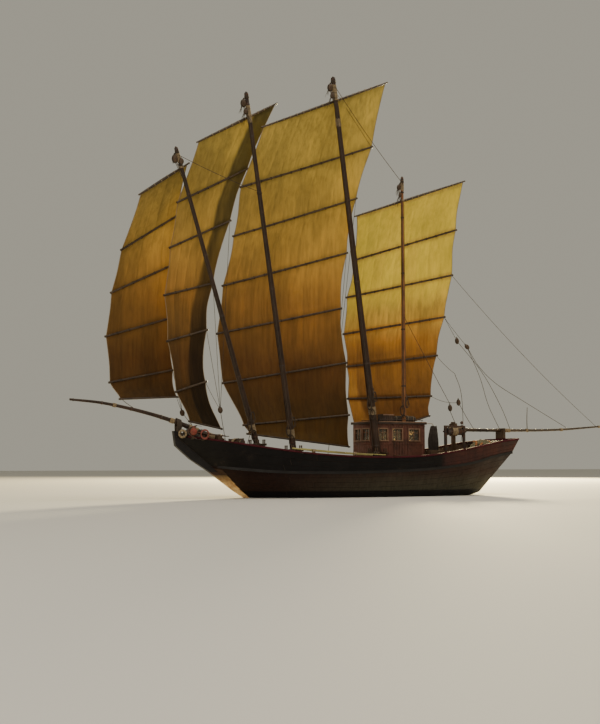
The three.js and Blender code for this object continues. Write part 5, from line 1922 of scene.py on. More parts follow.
def add_engine():
    bm, metal = blanks(2)
    low, high = ENGINE_LOW, ENGINE_HIGH
    middle = (low + high) / 2
    for y in (low.y + 0.001, high.y - 0.081):
        block(bm, (low.x + 0.001, y, low.z), (high.x - 0.001, y + 0.08, low.z + 0.12), 0.008)
    block(bm, (low.x + 0.10, -0.20, low.z + 0.06), (high.x - 0.14, 0.20, low.z + 0.42), 0.03, 3)
    for k in range(3):
        x = low.x + 0.20 + 0.19 * k
        block(bm, (x - 0.085, -0.13, low.z + 0.41), (x + 0.085, 0.13, low.z + 0.62), 0.02, 3)
        block(bm, (x - 0.065, -0.075, low.z + 0.61), (x + 0.065, 0.075, high.z - 0.002), 0.018, 3)
        for y in (-0.105, 0.105):
            for shift in (-0.06, 0.06):
                turned(
                    metal, vec(x + shift, y, low.z + 0.62), UP,
                    [(0, 0), (0.014, 0), (0.014, 0.014), (0.006, 0.015), (0.006, 0.03), (0, 0.03)], 6,
                )
        sweep(
            metal,
            [vec(x, 0.12, low.z + 0.54), vec(x, 0.19, low.z + 0.54), vec(x - 0.02, 0.23, low.z + 0.50)],
            0.022, 12,
        )
    sweep(metal, [vec(low.x + 0.06, 0.235, low.z + 0.49), vec(high.x - 0.14, 0.235, low.z + 0.49)], 0.040, 16)
    turned(metal, vec(high.x - 0.135, 0, low.z + 0.27), AHEAD, [
        (0, 0), (0.20, 0), (0.215, 0.01), (0.215, 0.075), (0.20, 0.085), (0.17, 0.085), (0.16, 0.055),
        (0.06, 0.055), (0.05, 0.12), (0, 0.12),
    ], 40)
    turned(
        bm, vec(low.x + 0.105, 0, low.z + 0.25), vec(-1, 0, 0),
        [(0, 0), (0.15, 0), (0.13, 0.06), (0.06, 0.085), (0.035, 0.10), (0, 0.10)], 28,
    )
    pipe = [
        vec(-4.22, -0.19, 0.45), vec(-4.05, -0.26, 0.52), vec(-3.85, -0.25, 0.66), vec(-3.80, -0.12, 0.70),
    ]
    sweep(metal, sampled(pipe, 16), 0.012, 8)
    turned(
        metal, vec(middle.x, -0.235, low.z + 0.16), UP,
        [(0, 0), (0.05, 0), (0.052, 0.02), (0.052, 0.17), (0.03, 0.19), (0, 0.19)],
    )
    show(bm, "engine_castings", engine_paint, stands_for=["engine_block"])
    show(metal, "engine_metal", iron)


add_engine()

# %% [markdown]
# Steering and drive. The rudder is built of boards that iron straps hold to the stock, and the
# propeller's blades are lofted sections that turn flatter towards the tip.

# %% Rudder and propeller
RUDDER = {"x": -5.40, "stock": 0.045, "half": 0.03, "head": 2.08}
PROPELLER = vec(-4.87, 0, -0.48)
BLADES, BLADE_TIP, BLADE_ROOT = 3, 0.305, 0.045


def add_rudder():
    boards = (AHEAD, [-5.62, -5.80, -5.98], 0.006, 0.004, faces_across(1))
    softened("rudder", side_paint, 0.010, [boards], "spar_wood")
    bm, ties = blanks(2)
    for z in (-0.70, -0.40, -0.10):
        for side in (1, -1):
            y = side * RUDDER["half"]
            block(
                bm, (-6.02, min(y, y + side * 0.010), z - 0.03), (-5.46, max(y, y + side * 0.010), z + 0.03),
                0.003,
            )
            for x in (-5.95, -5.78, -5.62, -5.50):
                stud(bm, vec(x, y + side * 0.010, z), 0.010)
    head = vec(RUDDER["x"], 0, RUDDER["head"])
    hoop(bm, head - UP * 0.115, UP, RUDDER["stock"] + 0.004, 0.007, 24, 6, 3.0)
    hoop(bm, head - UP * 0.006, UP, RUDDER["stock"] - 0.004, 0.007, 24, 6, 1.6)
    show(bm, "rudder_irons", iron, "rudder_body")
    grip = vec(-5.98, 0, RUDDER["head"] - 0.055)
    wound(ties, grip, grip + vec(0.16, 0, 0), 0.050, 0.009)
    show(ties, "tiller_grip", rope, "rudder_body")


def add_propeller():
    bm = bmesh.new()
    axis = AHEAD
    turned(bm, PROPELLER - axis * 0.11, axis, [
        (0, -0.045), (0.022, -0.035), (0.036, 0), (0.046, 0.03), (0.058, 0.10), (0.060, 0.16), (0.052, 0.195),
        (0.028, 0.20), (0.028, 0.665), (0, 0.665),
    ], 32)
    for k in range(BLADES):
        spin = Matrix.Rotation(tau * k / BLADES, 4, "X")
        rings = []
        for s in range(11):
            t = s / 10
            radius = BLADE_ROOT + (BLADE_TIP - BLADE_ROOT) * t
            chord = 0.108 * sin(pi * (0.16 + 0.80 * t)) ** 0.75
            thick = 0.011 * (1 - 0.82 * t)
            pitch = atan2(0.16, radius * 1.6)
            ring = []
            for j in range(12):
                angle = tau * j / 12
                across, deep = chord * cos(angle), thick * sin(angle) + 0.010 * cos(angle) ** 2
                flat = vec(
                    across * sin(pitch) + deep * cos(pitch), across * cos(pitch) - deep * sin(pitch), radius,
                )
                ring.append(PROPELLER + spin @ flat)
            rings.append(ring)
        extrude_through(bm, rings)
    show(bm, "screw_casting", bronze, "screw", stands_for=["propeller"])


add_rudder()
add_propeller()

# %% [markdown]
# The net. Its body is a lump with folds, and over it lies real netting: a coarser skin whose edges
# are turned into twine. Floats and a weighted foot rope are laid over it in loops.

# %% Net heap
NET_CENTRE = vec(-5.45, 0.80, 1.64)
NET_SIZE = vec(0.60, 0.31, 0.53)


def net_point(azimuth, height, grow=1.0):
    """A point on the heap's skin. height runs from 0 at its edge on deck to 1 at the top."""
    tilt = height * pi / 2
    fold = 1 + 0.05 * sin(5 * azimuth + 6 * height) + 0.035 * sin(9 * azimuth - 11 * height)
    fold += 0.022 * sin(17 * azimuth + 3 * height) * sin(13 * height)
    size = NET_SIZE * (fold * grow * 0.955)
    place = NET_CENTRE + vec(
        size.x * cos(tilt) * cos(azimuth), size.y * cos(tilt) * sin(azimuth),
        size.z * (sin(tilt) * 0.95),
    )
    return vec(place.x, place.y, max(place.z, deck_z(place.x) + 0.006))


def net_skin(bm, around, up, grow):
    rings = []
    for j in range(up + 1):
        height = -0.12 + 1.06 * j / up
        rings.append([net_point(tau * i / around, height, grow) for i in range(around)])
    extrude_through(bm, rings)


def as_twine(bm):
    """Leaves only the edges of a skin, each as a thin cord."""
    bmesh.ops.delete(bm, geom=[f for f in bm.faces if len(f.verts) > 4], context="FACES_ONLY")
    bmesh.ops.wireframe(
        bm, faces=bm.faces[:], thickness=0.005, offset=0, use_replace=True, use_boundary=True,
        use_even_offset=True, use_crease=False, crease_weight=0, use_relative_offset=False, material_offset=0,
    )


def add_net():
    body, twine = blanks(2)
    net_skin(body, 72, 30, 1.0)
    show(body, "net_body", net_twine, stands_for=["net_heap"], angle=80)
    net_skin(twine, 60, 26, 1.012)
    as_twine(twine)
    show(twine, "net_mesh", rope)
    floats, lines = blanks(2)
    for start, turn, base in ((0.4, 5.2, 0.30), (2.6, 5.6, 0.52)):
        path = [net_point(start + turn * s / 80, base + 0.16 * sin(3.1 * s / 20), 1.035) for s in range(81)]
        sweep(lines, path, 0.009, 7)
        for s in range(4, 80, 8):
            along = (path[s + 1] - path[s - 1]).normalized()
            out = (path[s] - NET_CENTRE).normalized() * 0.030
            turned(floats, path[s] + out - along * 0.045, along, [
                (0, 0), (0.022, 0.002), (0.040, 0.018), (0.046, 0.045), (0.040, 0.072), (0.022, 0.088),
                (0, 0.090),
            ], 14)
    show(floats, "net_floats", float_paint)
    show(lines, "net_ropes", dark_rope)


float_paint = make_paint(
    "float_paint", "netting", (0.42, 0.17, 0.06), (0.25, 0.15, 0.08), worn=0.3, roughness=0.6,
)
add_net()

# %% [markdown]
# Rigging. A tackle block has two wooden cheeks, a grooved sheave on a pin and a rope strop round its
# shell. Standing lines ride on the boat. A line between a sail and the boat rides on no body: it is
# baked in place between the points where it is made fast.

# %% Tools for rigging
LINE, CLEAT = 0.010, 0.30               # a line's radius and a cleat's length


def slack_line(start, end, sag=0.0, steps=20):
    points = []
    for s in range(steps + 1):
        t = s / steps
        points.append(start.lerp(end, t) - UP * (4 * sag * t * (1 - t)))
    return points


def pulley(wood, metal, strop, centre, hang, size, face=ABEAM):
    """A block of a given length that hangs in the direction of hang and turns its cheek to face."""
    hang = Vector(hang).normalized()
    face = Vector(face)
    face = (face - hang * face.dot(hang)).normalized()
    place = Matrix.Translation(centre) @ axes(hang, face.cross(hang), face)
    for side in (1, -1):
        cheek = place @ Matrix.Translation((0, 0, side * size * 0.17)) @ Matrix.Diagonal((1.0, 0.70, 0.20, 1))
        bmesh.ops.create_uvsphere(wood, u_segments=20, v_segments=10, radius=size / 2, matrix=cheek)
    rim, core = size * 0.27, size * 0.21
    turned(metal, centre - face * size * 0.085, face, [
        (0, 0), (rim, 0), (core, size * 0.05), (core, size * 0.12), (rim, size * 0.17), (0, size * 0.17),
    ])
    turned(
        metal, centre - face * size * 0.29, face,
        [(0, 0), (size * 0.06, 0), (size * 0.06, size * 0.58), (0, size * 0.58)], 10,
    )
    loop = []
    for s in range(25):
        angle = tau * s / 24
        loop.append(place @ vec(0.55 * size * cos(angle), 0.40 * size * sin(angle), 0))
    sweep(strop, loop, size * 0.055, 7)
    hoop(strop, centre + hang * size * 0.68, face, size * 0.10, size * 0.045, 16, 6)


def cleat(bm, place, along, out):
    along, out = Vector(along).normalized(), Vector(out).normalized()
    foot = between(place - along * CLEAT * 0.16, place + along * CLEAT * 0.16)
    beam(bm, (CLEAT * 0.32, 0.05, 0.05), Matrix.Translation(out * 0.022) @ foot, 0.008)
    path = [
        place + along * (CLEAT * k / 2) + out * (0.058 - 0.012 * (1 - k * k) + 0.012 * abs(k))
        for k in (-1, -0.7, -0.35, 0, 0.35, 0.7, 1)
    ]
    sweep(bm, sampled(path, 18), [0.011 + 0.013 * (1 - abs(s / 9 - 1) ** 1.6) for s in range(19)])


def coil(bm, centre, normal, radius, wire=0.010, turns=7, tall=1.0):
    """A coil of rope: loops of slightly different sizes that lie on one another."""
    normal = Vector(normal).normalized()
    side = UP.cross(normal)
    side = side.normalized() if side.length > 0.01 else AHEAD
    up = normal.cross(side)
    path = []
    for s in range(turns * 24 + 1):
        angle = tau * s / 24
        lift = wire * 1.5 * s / 24 * (0.55 + 0.45 * sin(s * 0.05))
        reach = radius * (1 + 0.06 * sin(s * 0.41) + 0.05 * sin(s * 0.11))
        path.append(centre + side * reach * cos(angle) + up * reach * tall * sin(angle) + normal * lift)
    sweep(bm, path, wire, 7)


def tassel(bm, start, drift, length):
    """Frayed rope ends that the wind lifts."""
    for k in range(6):
        reach = length * dice.uniform(0.55, 1.0)
        lean = Vector(drift) * dice.uniform(0.5, 1.2) + vec(0, dice.uniform(-0.12, 0.12), 0)
        path = []
        for s in range(11):
            t = s / 10
            wave = 0.035 * sin(7 * t + k) * t
            fall = vec(wave, 0.5 * wave, -reach * (0.35 * t + 0.65 * t * t))
            path.append(start + lean * reach * t * (1 - 0.25 * t) + fall)
        sweep(bm, path, [0.009 * (1 - 0.55 * s / 10) for s in range(11)], 6)


def mast_side(name, z, out, reach=0.0):
    """A point beside a mast at a height, on its skin or further out."""
    out = Vector(out).normalized()
    return mast_at(name, z) + out * (mast_radius(name, z) + reach)


print("rigging tools ready")

# %% [markdown]
# At each masthead: a cap, the halyard block on a strop over the fore side, a second block for the
# flag and lamp line below it, and frayed ends that have blown loose. The halyard goes from the
# yard's rope ring up to the block and comes down the mast's port side to a cleat at its foot.

# %% Mastheads and halyards
CLEAT_HEIGHTS = {"fore": 2.75, "second": 2.60, "main": 3.60, "mizzen": 3.45}


def add_masthead(name):
    wood, metal, strop, frayed = blanks(4)
    head = mast_head(name)
    up = mast_up(name)
    turned(metal, mast_at(name, head - 0.05), up, [
        (0, 0.048), (mast_radius(name, head) + 0.006, 0.048), (mast_radius(name, head) + 0.006, 0.056),
        (0.030, 0.070), (0.034, 0.085), (0.026, 0.104), (0, 0.110),
    ])
    size = 0.26 if name != "mizzen" else 0.20
    main_block = mast_side(name, head - 0.40, AHEAD, 0.10)
    pulley(wood, metal, strop, main_block, up - AHEAD * 0.25, size)
    drops = (0.45, 0.60, 0.35)
    line_block = mast_side(name, head - 0.72, AHEAD + ABEAM * 0.4, 0.09)
    if name == "fore":                # its yard swings close under the gear
        drops = (0.19, 0.10, 0.33)
        line_block = mast_side(name, head - 0.50, ABEAM, 0.09)
    pulley(wood, metal, strop, line_block, up - AHEAD * 0.2, size * 0.72, (0.4, 1, 0))
    wound(
        strop, mast_at(name, head - 0.20), mast_at(name, head - 0.10), mast_radius(name, head - 0.15) + 0.010,
        0.012,
    )
    wound(
        strop, mast_at(name, head - 0.62), mast_at(name, head - 0.55), mast_radius(name, head - 0.6) + 0.010,
        0.011,
    )
    for start, drop in zip((main_block, line_block, mast_side(name, head - 0.16, AHEAD)), drops):
        tassel(frayed, start, (0.55, 0.1, 0), drop)
    show(wood, f"mast_{name}_blocks", block_wood)
    show(metal, f"mast_{name}_head_irons", iron)
    show(strop, f"mast_{name}_strops", dark_rope)
    show(frayed, f"mast_{name}_frayed_ends", dark_rope)
    return main_block, line_block


def add_halyard(name, main_block, line_block):
    hoist, falls, wood = blanks(3)
    ring = crossing(name) + AHEAD * (mast_radius(name, crossing(name).z) + 0.035)
    sweep(hoist, slack_line(ring, main_block - AHEAD * 0.02, 0.0, 8), LINE * 1.3, 8)
    piece = show(hoist, f"halyard_{name}_hoist", rope, None)
    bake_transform(piece)
    low, up = CLEAT_HEIGHTS[name], mast_up(name)
    for start, out, reach, height in (
        (main_block + AHEAD * 0.05, AHEAD + ABEAM * 0.8, 0.030, low),
        (main_block, AHEAD + ABEAM * 1.6, 0.028, low - 0.35),
        (line_block, ABEAM - AHEAD * 0.3, 0.022, low + 0.30),
    ):
        foot = mast_side(name, height, out, reach)
        top = mast_side(name, mast_head(name) - 1.1, out, reach + 0.015)
        path = [start] + slack_line(top, foot, 0.0, 24)
        sweep(falls, path, LINE if reach > 0.025 else LINE * 0.7, 7)
        spot = mast_side(name, height, out)
        cleat(wood, spot, up, out)
        coil(falls, spot + out.normalized() * 0.055 - up * 0.20, out, 0.085, 0.009, 6, 2.1)
    show(wood, f"mast_{name}_cleats", block_wood)
    show(falls, f"halyard_{name}_falls", dark_rope)


for name in MASTS:
    add_halyard(name, *add_masthead(name))

# %% [markdown]
# Two lines between the masts keep the heads together. The main yard has a lift from the masthead to the
# end of the first batten. Each sail's after edge has sheets: short spans from the batten ends meet at a
# block, and one fall goes from there to the rail or out to the stern pole.

# %% Stays and sheets
HEAD_STAYS = [
    # mast and height at each end, how far the line hangs
    ("fore", 12.02, "second", 11.05, 0.05), ("main", 15.45, "mizzen", 12.20, 0.10),
]
SHEETS = {
    # rows whose after ends have spans, the block where the spans meet
    "fore": ((3, 4, 5), (6.22, -1.52, 3.05)),
    "second": ((2, 3, 4, 5), (5.02, -0.82, 3.15)),
    "main": ((2, 3, 4, 5, 6), (-0.02, -1.56, 2.95)),
    "mizzen": ((3,), (-6.25, -1.20, 6.05)),
}
FALLS = [
    # points from a block to where the line is made fast
    [(6.22, -1.52, 3.05), (5.75, -1.30, 2.42), (5.25, -0.99, 1.93)],
    [(5.02, -0.82, 3.15), (4.80, -1.02, 2.45), (4.55, -1.29, 1.79)],
    [(-0.02, -1.56, 2.95), (0.02, -1.66, 2.20), (0.05, -1.79, 1.45)],
    [
        (-6.25, -1.20, 6.05), (-6.60, -0.90, 5.24), (-7.24, -0.60, 4.52), (-8.38, -0.30, 3.82),
        (-10.41, 0.0, 2.73),
    ],
    [(-6.25, -1.20, 6.05), (-6.55, -0.75, 4.75), (-6.68, -0.40, 3.62), (-6.95, -0.05, 2.64)],
    [(-5.96, -1.50, 6.31), (-6.80, -0.90, 4.95), (-7.25, -0.30, 3.55), (-7.46, 0.0, 2.63)],
    [(-5.35, -0.60, 3.68), (-5.50, -0.30, 3.10), (-5.62, 0.0, 2.63)],
    [(-5.50, -1.05, 4.90), (-5.70, -0.90, 4.10), (-5.81, -0.95, 2.78), (-5.90, -1.25, 2.06)],
]
EXTRA_SHEETS = [
    # sail, row, the point on the boat that its line goes to
    ("mizzen", 2, (-12.05, 0.0, 2.81), 0.22), ("mizzen", 3, (-5.96, -1.50, 6.31), 0.0),
    ("mizzen", 5, (-5.35, -0.60, 3.68), 0.10), ("mizzen", 4, (-5.50, -1.05, 4.90), 0.05),
    ("main", 1, (0.98, 0.36, 15.50), 0.0),
]
LOOSE_BLOCKS = [(-5.35, -0.60, 3.68), (-5.96, -1.50, 6.31), (-4.30, 0.30, 3.39)]


def sheet_leg(label, start, end, sag, wire):
    bm = bmesh.new()
    sweep(bm, slack_line(start, end, sag, 16), wire, 6)
    piece = show(bm, label, dark_rope, None)
    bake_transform(piece)


def add_sheets():
    wood, metal, strop, lines = blanks(4)
    for name, (rows, centre) in SHEETS.items():
        centre = Vector(centre)
        for row in rows:
            start = cloth_place(name, row, 1.0)
            sheet_leg(
                f"sheet_{name}_{row}", start, centre + (start - centre).normalized() * 0.10, 0.03,
                LINE * 0.8,
            )
        middle = cloth_place(name, sum(rows) / len(rows), 1.0)
        pulley(wood, metal, strop, centre, middle - centre, 0.20, (0.3, 1, 0))
    for k, (name, row, end, sag) in enumerate(EXTRA_SHEETS):
        start = cloth_place(name, row, 1.0)
        sheet_leg(f"sheet_{name}_extra_{k}", start, Vector(end), sag, LINE * 0.8)
    for points in FALLS:
        sweep(lines, sampled([Vector(p) for p in points], 20), LINE, 7)
    for place in LOOSE_BLOCKS:
        pulley(wood, metal, strop, Vector(place), (0.1, 0, 1), 0.22)
    for start_mast, z0, end_mast, z1, sag in HEAD_STAYS:
        ends = [mast_side(mast, z, ABEAM, 0.02) for mast, z in ((start_mast, z0), (end_mast, z1))]
        sweep(lines, slack_line(*ends, sag), LINE, 7)
        for mast, z in ((start_mast, z0), (end_mast, z1)):
            wound(
                strop, mast_at(mast, z - 0.04), mast_at(mast, z + 0.04), mast_radius(mast, z) + 0.009, 0.010,
            )
    lift = vec(-4.30, 0.30, 3.39)
    sweep(lines, slack_line(mast_at("mizzen", 6.9) + ABEAM * 0.09, lift + UP * 0.15, 0.02), LINE, 7)
    sweep(lines, slack_line(lift - UP * 0.12, vec(-4.55, 0.28, 2.80), 0.0), LINE, 7)
    show(wood, "sheet_blocks", block_wood)
    show(metal, "sheet_sheaves", iron)
    show(strop, "sheet_strops", dark_rope)
    show(lines, "standing_lines", dark_rope)


add_sheets()

# %% [markdown]
# Tacks hold the sails' lower fore corners down. Like the sheets, they are baked in place and ride on no body.

# %% Tacks
TACKS = {
    "fore": (8.60, 0.0, 3.12), "second": (5.95, -0.72, 2.12), "main": (3.70, -1.50, 1.72),
    "mizzen": (-1.15, -1.22, 2.84),
}
for name, end in TACKS.items():
    sheet_leg(f"tack_{name}", cloth_place(name, panels(name), 0.02), Vector(end), 0.02, LINE)

# %% [markdown]
# Gear on the bow, as the photo shows it: a pale rope ring on the port side of the stem, a red
# float and a red rope ring behind it, an anchor lashed along the rail, and the bowsprit bound down
# to the stem's head.

# %% Bow gear
def add_anchor():
    bm, wood = blanks(2)
    crown, eye = vec(6.72, 0.36, 2.33), vec(5.55, 0.92, 2.16)
    along = (eye - crown).normalized()
    sweep(bm, [crown.lerp(eye, s / 10) for s in range(11)], [0.032 - 0.009 * s / 10 for s in range(11)], 12)
    hoop(bm, eye + along * 0.06, UP, 0.055, 0.012, 20, 8)
    across = along.cross(UP).normalized()
    for side in (1, -1):
        path = [
            crown + (UP * 0.42 * side * t * 0.55 + along * 0.30 * t * t) + across * 0.02
            for t in (0, 0.35, 0.7, 1.0)
        ]
        sweep(bm, sampled(path, 12), [0.034 - 0.012 * s / 12 for s in range(13)])
        fluke = between(path[-1] - along * 0.02, path[-1] + along * 0.16)
        beam(bm, (0.20, 0.12, 0.012), fluke)
    middle = crown.lerp(eye, 0.86)
    sweep(
        wood, [middle + across * 0.42 * k for k in (-1, -0.5, 0, 0.5, 1)],
        [0.022, 0.034, 0.040, 0.034, 0.022], 12,
    )
    show(bm, "bow_anchor", iron)
    show(wood, "anchor_stock", block_wood)


def add_bow_gear():
    pale, red, ball, dark = blanks(4)
    ring = vec(6.90, 0.30, 2.24)
    hoop(pale, ring, ABEAM + AHEAD * 0.35, 0.115, 0.040, 32, 10)
    for k in range(8):
        angle = tau * k / 8
        out = vec(-cos(angle) * 0.94, cos(angle) * 0.33, sin(angle))
        hoop(dark, ring + out * 0.115, out.cross(ABEAM), 0.043, 0.006, 14, 5)
    bmesh.ops.create_uvsphere(
        ball, u_segments=24, v_segments=14, radius=0.125, matrix=Matrix.Translation((6.57, 0.50, 2.31)),
    )
    hoop(ball, vec(6.57, 0.50, 2.45), ABEAM, 0.035, 0.011, 16, 6)
    coil(red, vec(6.22, 0.66, 2.22), (0.4, 1, 0), 0.13, 0.020, 5, 1.15)
    for x in (6.90, 6.57, 6.24):
        rail = curve_point(LINES["rail"], line_at(LINES["rail"], x))
        wound(
            dark, vec(x - 0.05, rail.y, rail.z + 0.045), vec(x + 0.05, rail.y, rail.z + 0.045), 0.085, 0.010,
        )
    start, end = vec(6.86, 0, 2.34), vec(7.04, 0, 2.40)
    path = []
    for s in range(9 * 24 + 1):
        angle = tau * s / 24
        along = start.lerp(end, s / (9 * 24))
        path.append(along + vec(0, 0.125 * cos(angle), 0.27 * sin(angle) + 0.12))
    sweep(dark, path, 0.013, 7)
    show(pale, "bow_fender", rope)
    show(red, "bow_red_line", red_rope)
    show(ball, "bow_float", float_red)
    show(dark, "bow_lashings", dark_rope)


def add_stowed_canvas():
    """A rolled spare sail that hangs in its ties under the heel of the bowsprit."""
    roll, ties = blanks(2)
    points = [vec(x, 0, z) for x, z in BOWSPRIT]
    steps, spar, thick = 36, 0.098, 0.155
    drop = spar + thick * 0.98
    places, radii = [], []
    for s in range(steps + 1):
        ends = min(1, 0.40 + 0.15 * min(s, steps - s))
        radius = thick * ends * (1 + 0.09 * sin(0.9 * s) * sin(0.37 * s + 1))
        radii.append(radius)
        places.append(curve_point(points, 0.115 + 0.235 * s / steps) - UP * drop)
    sweep(roll, places, radii, 24)
    for s in (5, 14, 23, 31):
        along = places[s + 1] - places[s - 1]
        hoop(ties, places[s], along, radii[s] + 0.004, 0.009, 28, 6)
        hoop(ties, places[s] + UP * drop, along, spar + 0.012, 0.009, 24, 6)
    show(roll, "stowed_canvas", tarpaulin)
    show(ties, "stowed_canvas_ties", dark_rope)


float_red = make_paint(
    "float_red", "netting", (0.26, 0.050, 0.034), (0.16, 0.08, 0.05), worn=0.35, roughness=0.7,
)
add_anchor()
add_bow_gear()
add_stowed_canvas()

# %% [markdown]
# Gear along the deck. Fish boxes, baskets and coils stand against the bulwarks and round the masts,
# clear of the hatches and of the open waist. A pale bamboo boat hook lies on the port rail, a net
# hangs in a bunch at the house's after corner, and a slim staff is lashed to the stern pole.

# %% Deck gear
def rail_at(x, side):
    rail = curve_point(LINES["rail"], line_at(LINES["rail"], x))
    return vec(rail.x, side * rail.y, rail.z)


SLATS = 4


def crate(wood, metal, low, size):
    low, size = Vector(low), Vector(size)
    thick = 0.014
    step = size.z / SLATS
    for k in range(SLATS):
        z0, z1 = low.z + step * k + 0.004, low.z + step * (k + 1) - 0.004
        for y in (low.y, low.y + size.y - thick):
            block(wood, (low.x, y, z0), (low.x + size.x, y + thick, z1), 0.002)
        for x in (low.x, low.x + size.x - thick):
            block(
                wood, (x, low.y + thick + 0.001, z0), (x + thick, low.y + size.y - thick - 0.001, z1), 0.002,
            )
    for x in (low.x + thick, low.x + size.x - thick - 0.03):
        for y in (low.y + thick, low.y + size.y - thick - 0.03):
            block(wood, (x, y, low.z), (x + 0.03, y + 0.03, low.z + size.z), 0.002)
    block(
        wood, low + vec(thick, thick, 0.004), (low.x + size.x - thick, low.y + size.y - thick, low.z + 0.018),
        0.002,
    )
    for x in (low.x - 0.002, low.x + size.x - 0.010):
        for y in (low.y - 0.002, low.y + size.y - 0.010):
            block(metal, (x, y, low.z + 0.01), (x + 0.012, y + 0.012, low.z + size.z - 0.01), 0.001)


def basket(bm, foot, radius, height):
    """Woven splits: rings that bulge in and out past upright stakes."""
    stakes = 18
    rings = 11
    for r in range(rings):
        z = height * (r + 0.5) / rings
        wide = radius * (0.78 + 0.30 * sin(0.5 + 1.9 * r / rings))
        path = []
        for s in range(stakes * 4 + 1):
            angle = tau * s / (stakes * 4)
            weave = 0.008 * cos(angle * stakes / 2 + pi * r)
            path.append(foot + vec((wide + weave) * cos(angle), (wide + weave) * sin(angle), z))
        sweep(bm, path, 0.010, 5)
    for k in range(stakes):
        angle = tau * k / stakes
        path = []
        for s in range(9):
            wide = radius * (0.78 + 0.30 * sin(0.5 + 1.9 * s / 8))
            path.append(foot + vec(wide * cos(angle), wide * sin(angle), height * s / 8))
        sweep(bm, path, 0.006, 5)
    top = radius * (0.78 + 0.30 * sin(2.4))
    hoop(bm, foot + UP * height, UP, top, 0.016, 36, 8)
    turned(bm, foot, UP, [(0, 0), (radius * 0.90, 0), (radius * 0.92, 0.012), (0, 0.012)], 28)


BOXES = [
    # x, y, tiers
    (2.05, 1.02, 2), (2.62, 0.92, 1), (-1.75, 1.02, 3), (-2.35, 1.04, 2), (-3.42, 0.66, 3), (-1.30, -1.62, 1),
]
BOX_SIZE = (0.54, 0.34, 0.16)
BASKETS = [
    # x, y, radius, height
    (3.72, 0.92, 0.19, 0.26), (2.30, -1.15, 0.21, 0.30), (-1.05, 1.36, 0.20, 0.28), (-4.72, 0.66, 0.20, 0.30),
    (-6.25, -0.82, 0.18, 0.24),
]
COILS = [
    # x, y, radius, the rope's own radius
    (3.85, -0.72, 0.22, 0.016), (-5.05, -0.72, 0.20, 0.014), (5.05, 0.62, 0.16, 0.016),
]


def add_deck_gear():
    wood, metal, woven, ropes = blanks(4)
    for x, y, tiers in BOXES:
        floor = max(deck_z(x), deck_z(x + BOX_SIZE[0])) + 0.003
        for k in range(tiers):
            shift = dice.uniform(-0.02, 0.02)
            crate(wood, metal, (x + shift, y + shift / 2, floor + k * (BOX_SIZE[2] + 0.003)), BOX_SIZE)
    for x, y, radius, height in BASKETS:
        basket(woven, vec(x, y, deck_z(x) + 0.016), radius, height)
    for x, y, radius, wire in COILS:
        middle = vec(x, y, deck_z(x) + wire)
        coil(ropes, middle, UP, radius, wire, 6)
        coil(ropes, middle, UP, radius * 0.72, wire, 5)
    show(wood, "fish_boxes", block_wood)
    show(metal, "fish_box_irons", iron)
    show(woven, "baskets", bamboo)
    show(ropes, "deck_coils", rope)


def add_poles_and_staff():
    pale, metal, ties, staff = blanks(4)
    start, end = rail_at(3.3, 1) + vec(0, 0.02, 0.13), rail_at(0.2, 1) + vec(0, 0.02, 0.10)
    sweep(pale, *knuckled(slack_line(start, end, 0.03), 0.026, 0.7), 12)
    start, end = rail_at(2.9, 1) + vec(0, -0.05, 0.16), rail_at(-0.4, 1) + vec(0, -0.05, 0.11)
    sweep(pale, *knuckled(slack_line(start, end, 0.02), 0.022, 0.7), 12)
    for x in (2.5, 0.9):
        spot = rail_at(x, 1)
        path = [
            spot + vec(0, -0.09, 0.05), spot + vec(0, -0.10, 0.11), spot + vec(0, 0, 0.055),
            spot + vec(0, 0.08, 0.11),
        ]
        sweep(metal, sampled(path, 12), 0.010, 8)
        wound(ties, spot + vec(-0.05, -0.01, 0.12), spot + vec(0.05, -0.01, 0.12), 0.062, 0.008)
    foot = vec(-8.30, 0.062, 2.50)
    sweep(staff, *knuckled([foot, foot + vec(0.01, 0, 0.5), foot + vec(-0.02, 0, 1.02)], 0.018, 0.6), 10)
    wound(ties, foot + vec(0, -0.030, 0.02), foot + vec(0, -0.030, 0.14), 0.060, 0.008)
    show(pale, "boat_hooks", pale_bamboo)
    show(staff, "stern_staff", dark_bamboo)
    show(metal, "rail_crutches", iron)
    show(ties, "rail_lashings", rope)


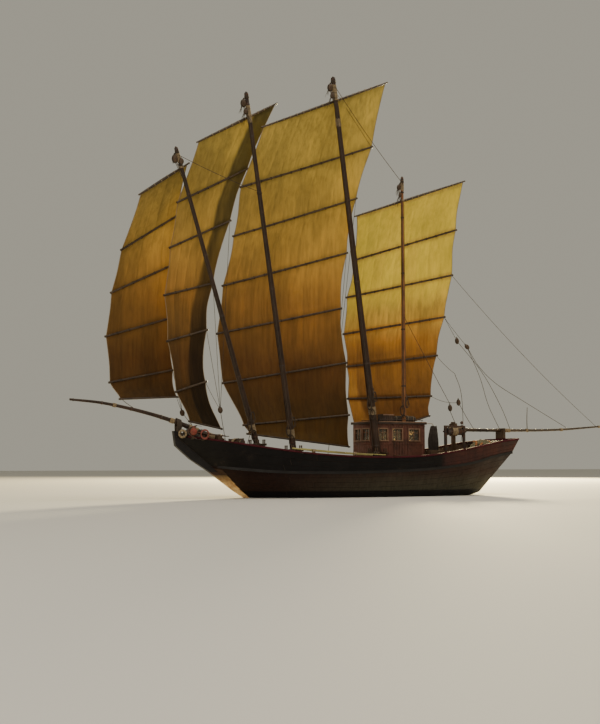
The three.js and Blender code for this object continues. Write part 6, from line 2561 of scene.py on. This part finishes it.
def add_hanging_net():
    body, twine, ties = blanks(3)
    for bm, grow in ((body, 1.0), (twine, 1.03)):
        rings = []
        for j in range(27):
            t = j / 26
            z = 2.66 - 1.42 * t
            wide = (0.045 + 0.13 * sin(pi * min(1, 0.12 + 0.75 * t)) ** 0.8) * grow
            centre = vec(-3.36 + 0.02 * sin(5 * t), 0.50 + 0.03 * sin(4 * t + 1), z)
            ring = []
            for i in range(36):
                angle = tau * i / 36
                fold = 1 + 0.13 * sin(7 * angle + 2 * t) + 0.07 * sin(13 * angle - 5 * t)
                ring.append(
                    centre + vec(wide * fold * cos(angle), wide * fold * sin(angle), 0.012 * sin(3 * angle)),
                )
            rings.append(ring)
        extrude_through(bm, rings)
    as_twine(twine)
    hook = [vec(-3.13, 0.27, 2.745), vec(-3.22, 0.34, 2.76), vec(-3.33, 0.46, 2.75), vec(-3.36, 0.50, 2.68)]
    sweep(ties, sampled(hook, 12), 0.012, 8)
    wound(ties, vec(-3.36, 0.50, 2.58), vec(-3.36, 0.50, 2.66), 0.060, 0.011)
    show(body, "hanging_net", net_dark, angle=80)
    show(twine, "hanging_net_mesh", dark_rope)
    show(ties, "hanging_net_ties", rope)


net_dark = make_rope("net_dark", (0.060, 0.045, 0.038), (0.020, 0.015, 0.013), 60.0)
add_deck_gear()
add_poles_and_staff()
add_hanging_net()

# %% [markdown]
# Round the feet of the fore, second and main masts stand wedges in the partners and a rack of belaying
# pins with coils, which is the dark lump that the photo shows at the fore mast.

# %% Mast feet
def add_mast_foot(name):
    wood, ropes = blanks(2)
    floor = mast_foot(name)
    centre = mast_at(name, floor)
    radius = mast_radius(name, floor)
    for k in range(10):
        angle = tau * k / 10
        out = vec(cos(angle), sin(angle), 0)
        turn = Matrix.Rotation(angle, 4, "Z")
        place = Matrix.Translation(centre + out * (radius + 0.020) + UP * 0.095) @ turn
        beam(wood, (0.024, 0.052, 0.050 + dice.uniform(0, 0.02)), place)
    rack = mast_at(name, floor + 0.62)
    for x in (-1, 1):
        beam(wood, (0.075, 0.86, 0.075), Matrix.Translation(rack + vec(x * (radius + 0.045), 0, 0)), 0.010)
    post_foot = deck_z(rack.x)
    height = rack.z - 0.12 - post_foot
    for side in (1, -1):
        y = rack.y + side * 0.38
        beam(wood, (2 * radius + 0.06, 0.07, 0.07), Matrix.Translation(vec(rack.x, y, rack.z - 0.078)), 0.008)
        beam(
            wood, (0.08, 0.08, height), Matrix.Translation(vec(rack.x, y, post_foot + height / 2 + 0.002)),
            0.008,
        )
    for x in (-1, 1):
        for k in (-0.33, -0.19, 0.19, 0.33):
            pin = rack + vec(x * (radius + 0.045), k, -0.15)
            turned(wood, pin, UP, [
                (0, 0), (0.010, 0), (0.014, 0.10), (0.014, 0.19), (0.024, 0.20), (0.022, 0.25), (0.028, 0.30),
                (0.020, 0.33), (0, 0.335),
            ], 12)
            if (k > 0) == (x > 0):
                coil(ropes, pin + vec(x * 0.05, 0, 0.04), (x, 0, 0), 0.075, 0.009, 5, 2.0)
    show(wood, f"mast_{name}_rack", block_wood)
    show(ropes, f"mast_{name}_coils", dark_rope)


for name in ("fore", "second", "main"):
    add_mast_foot(name)
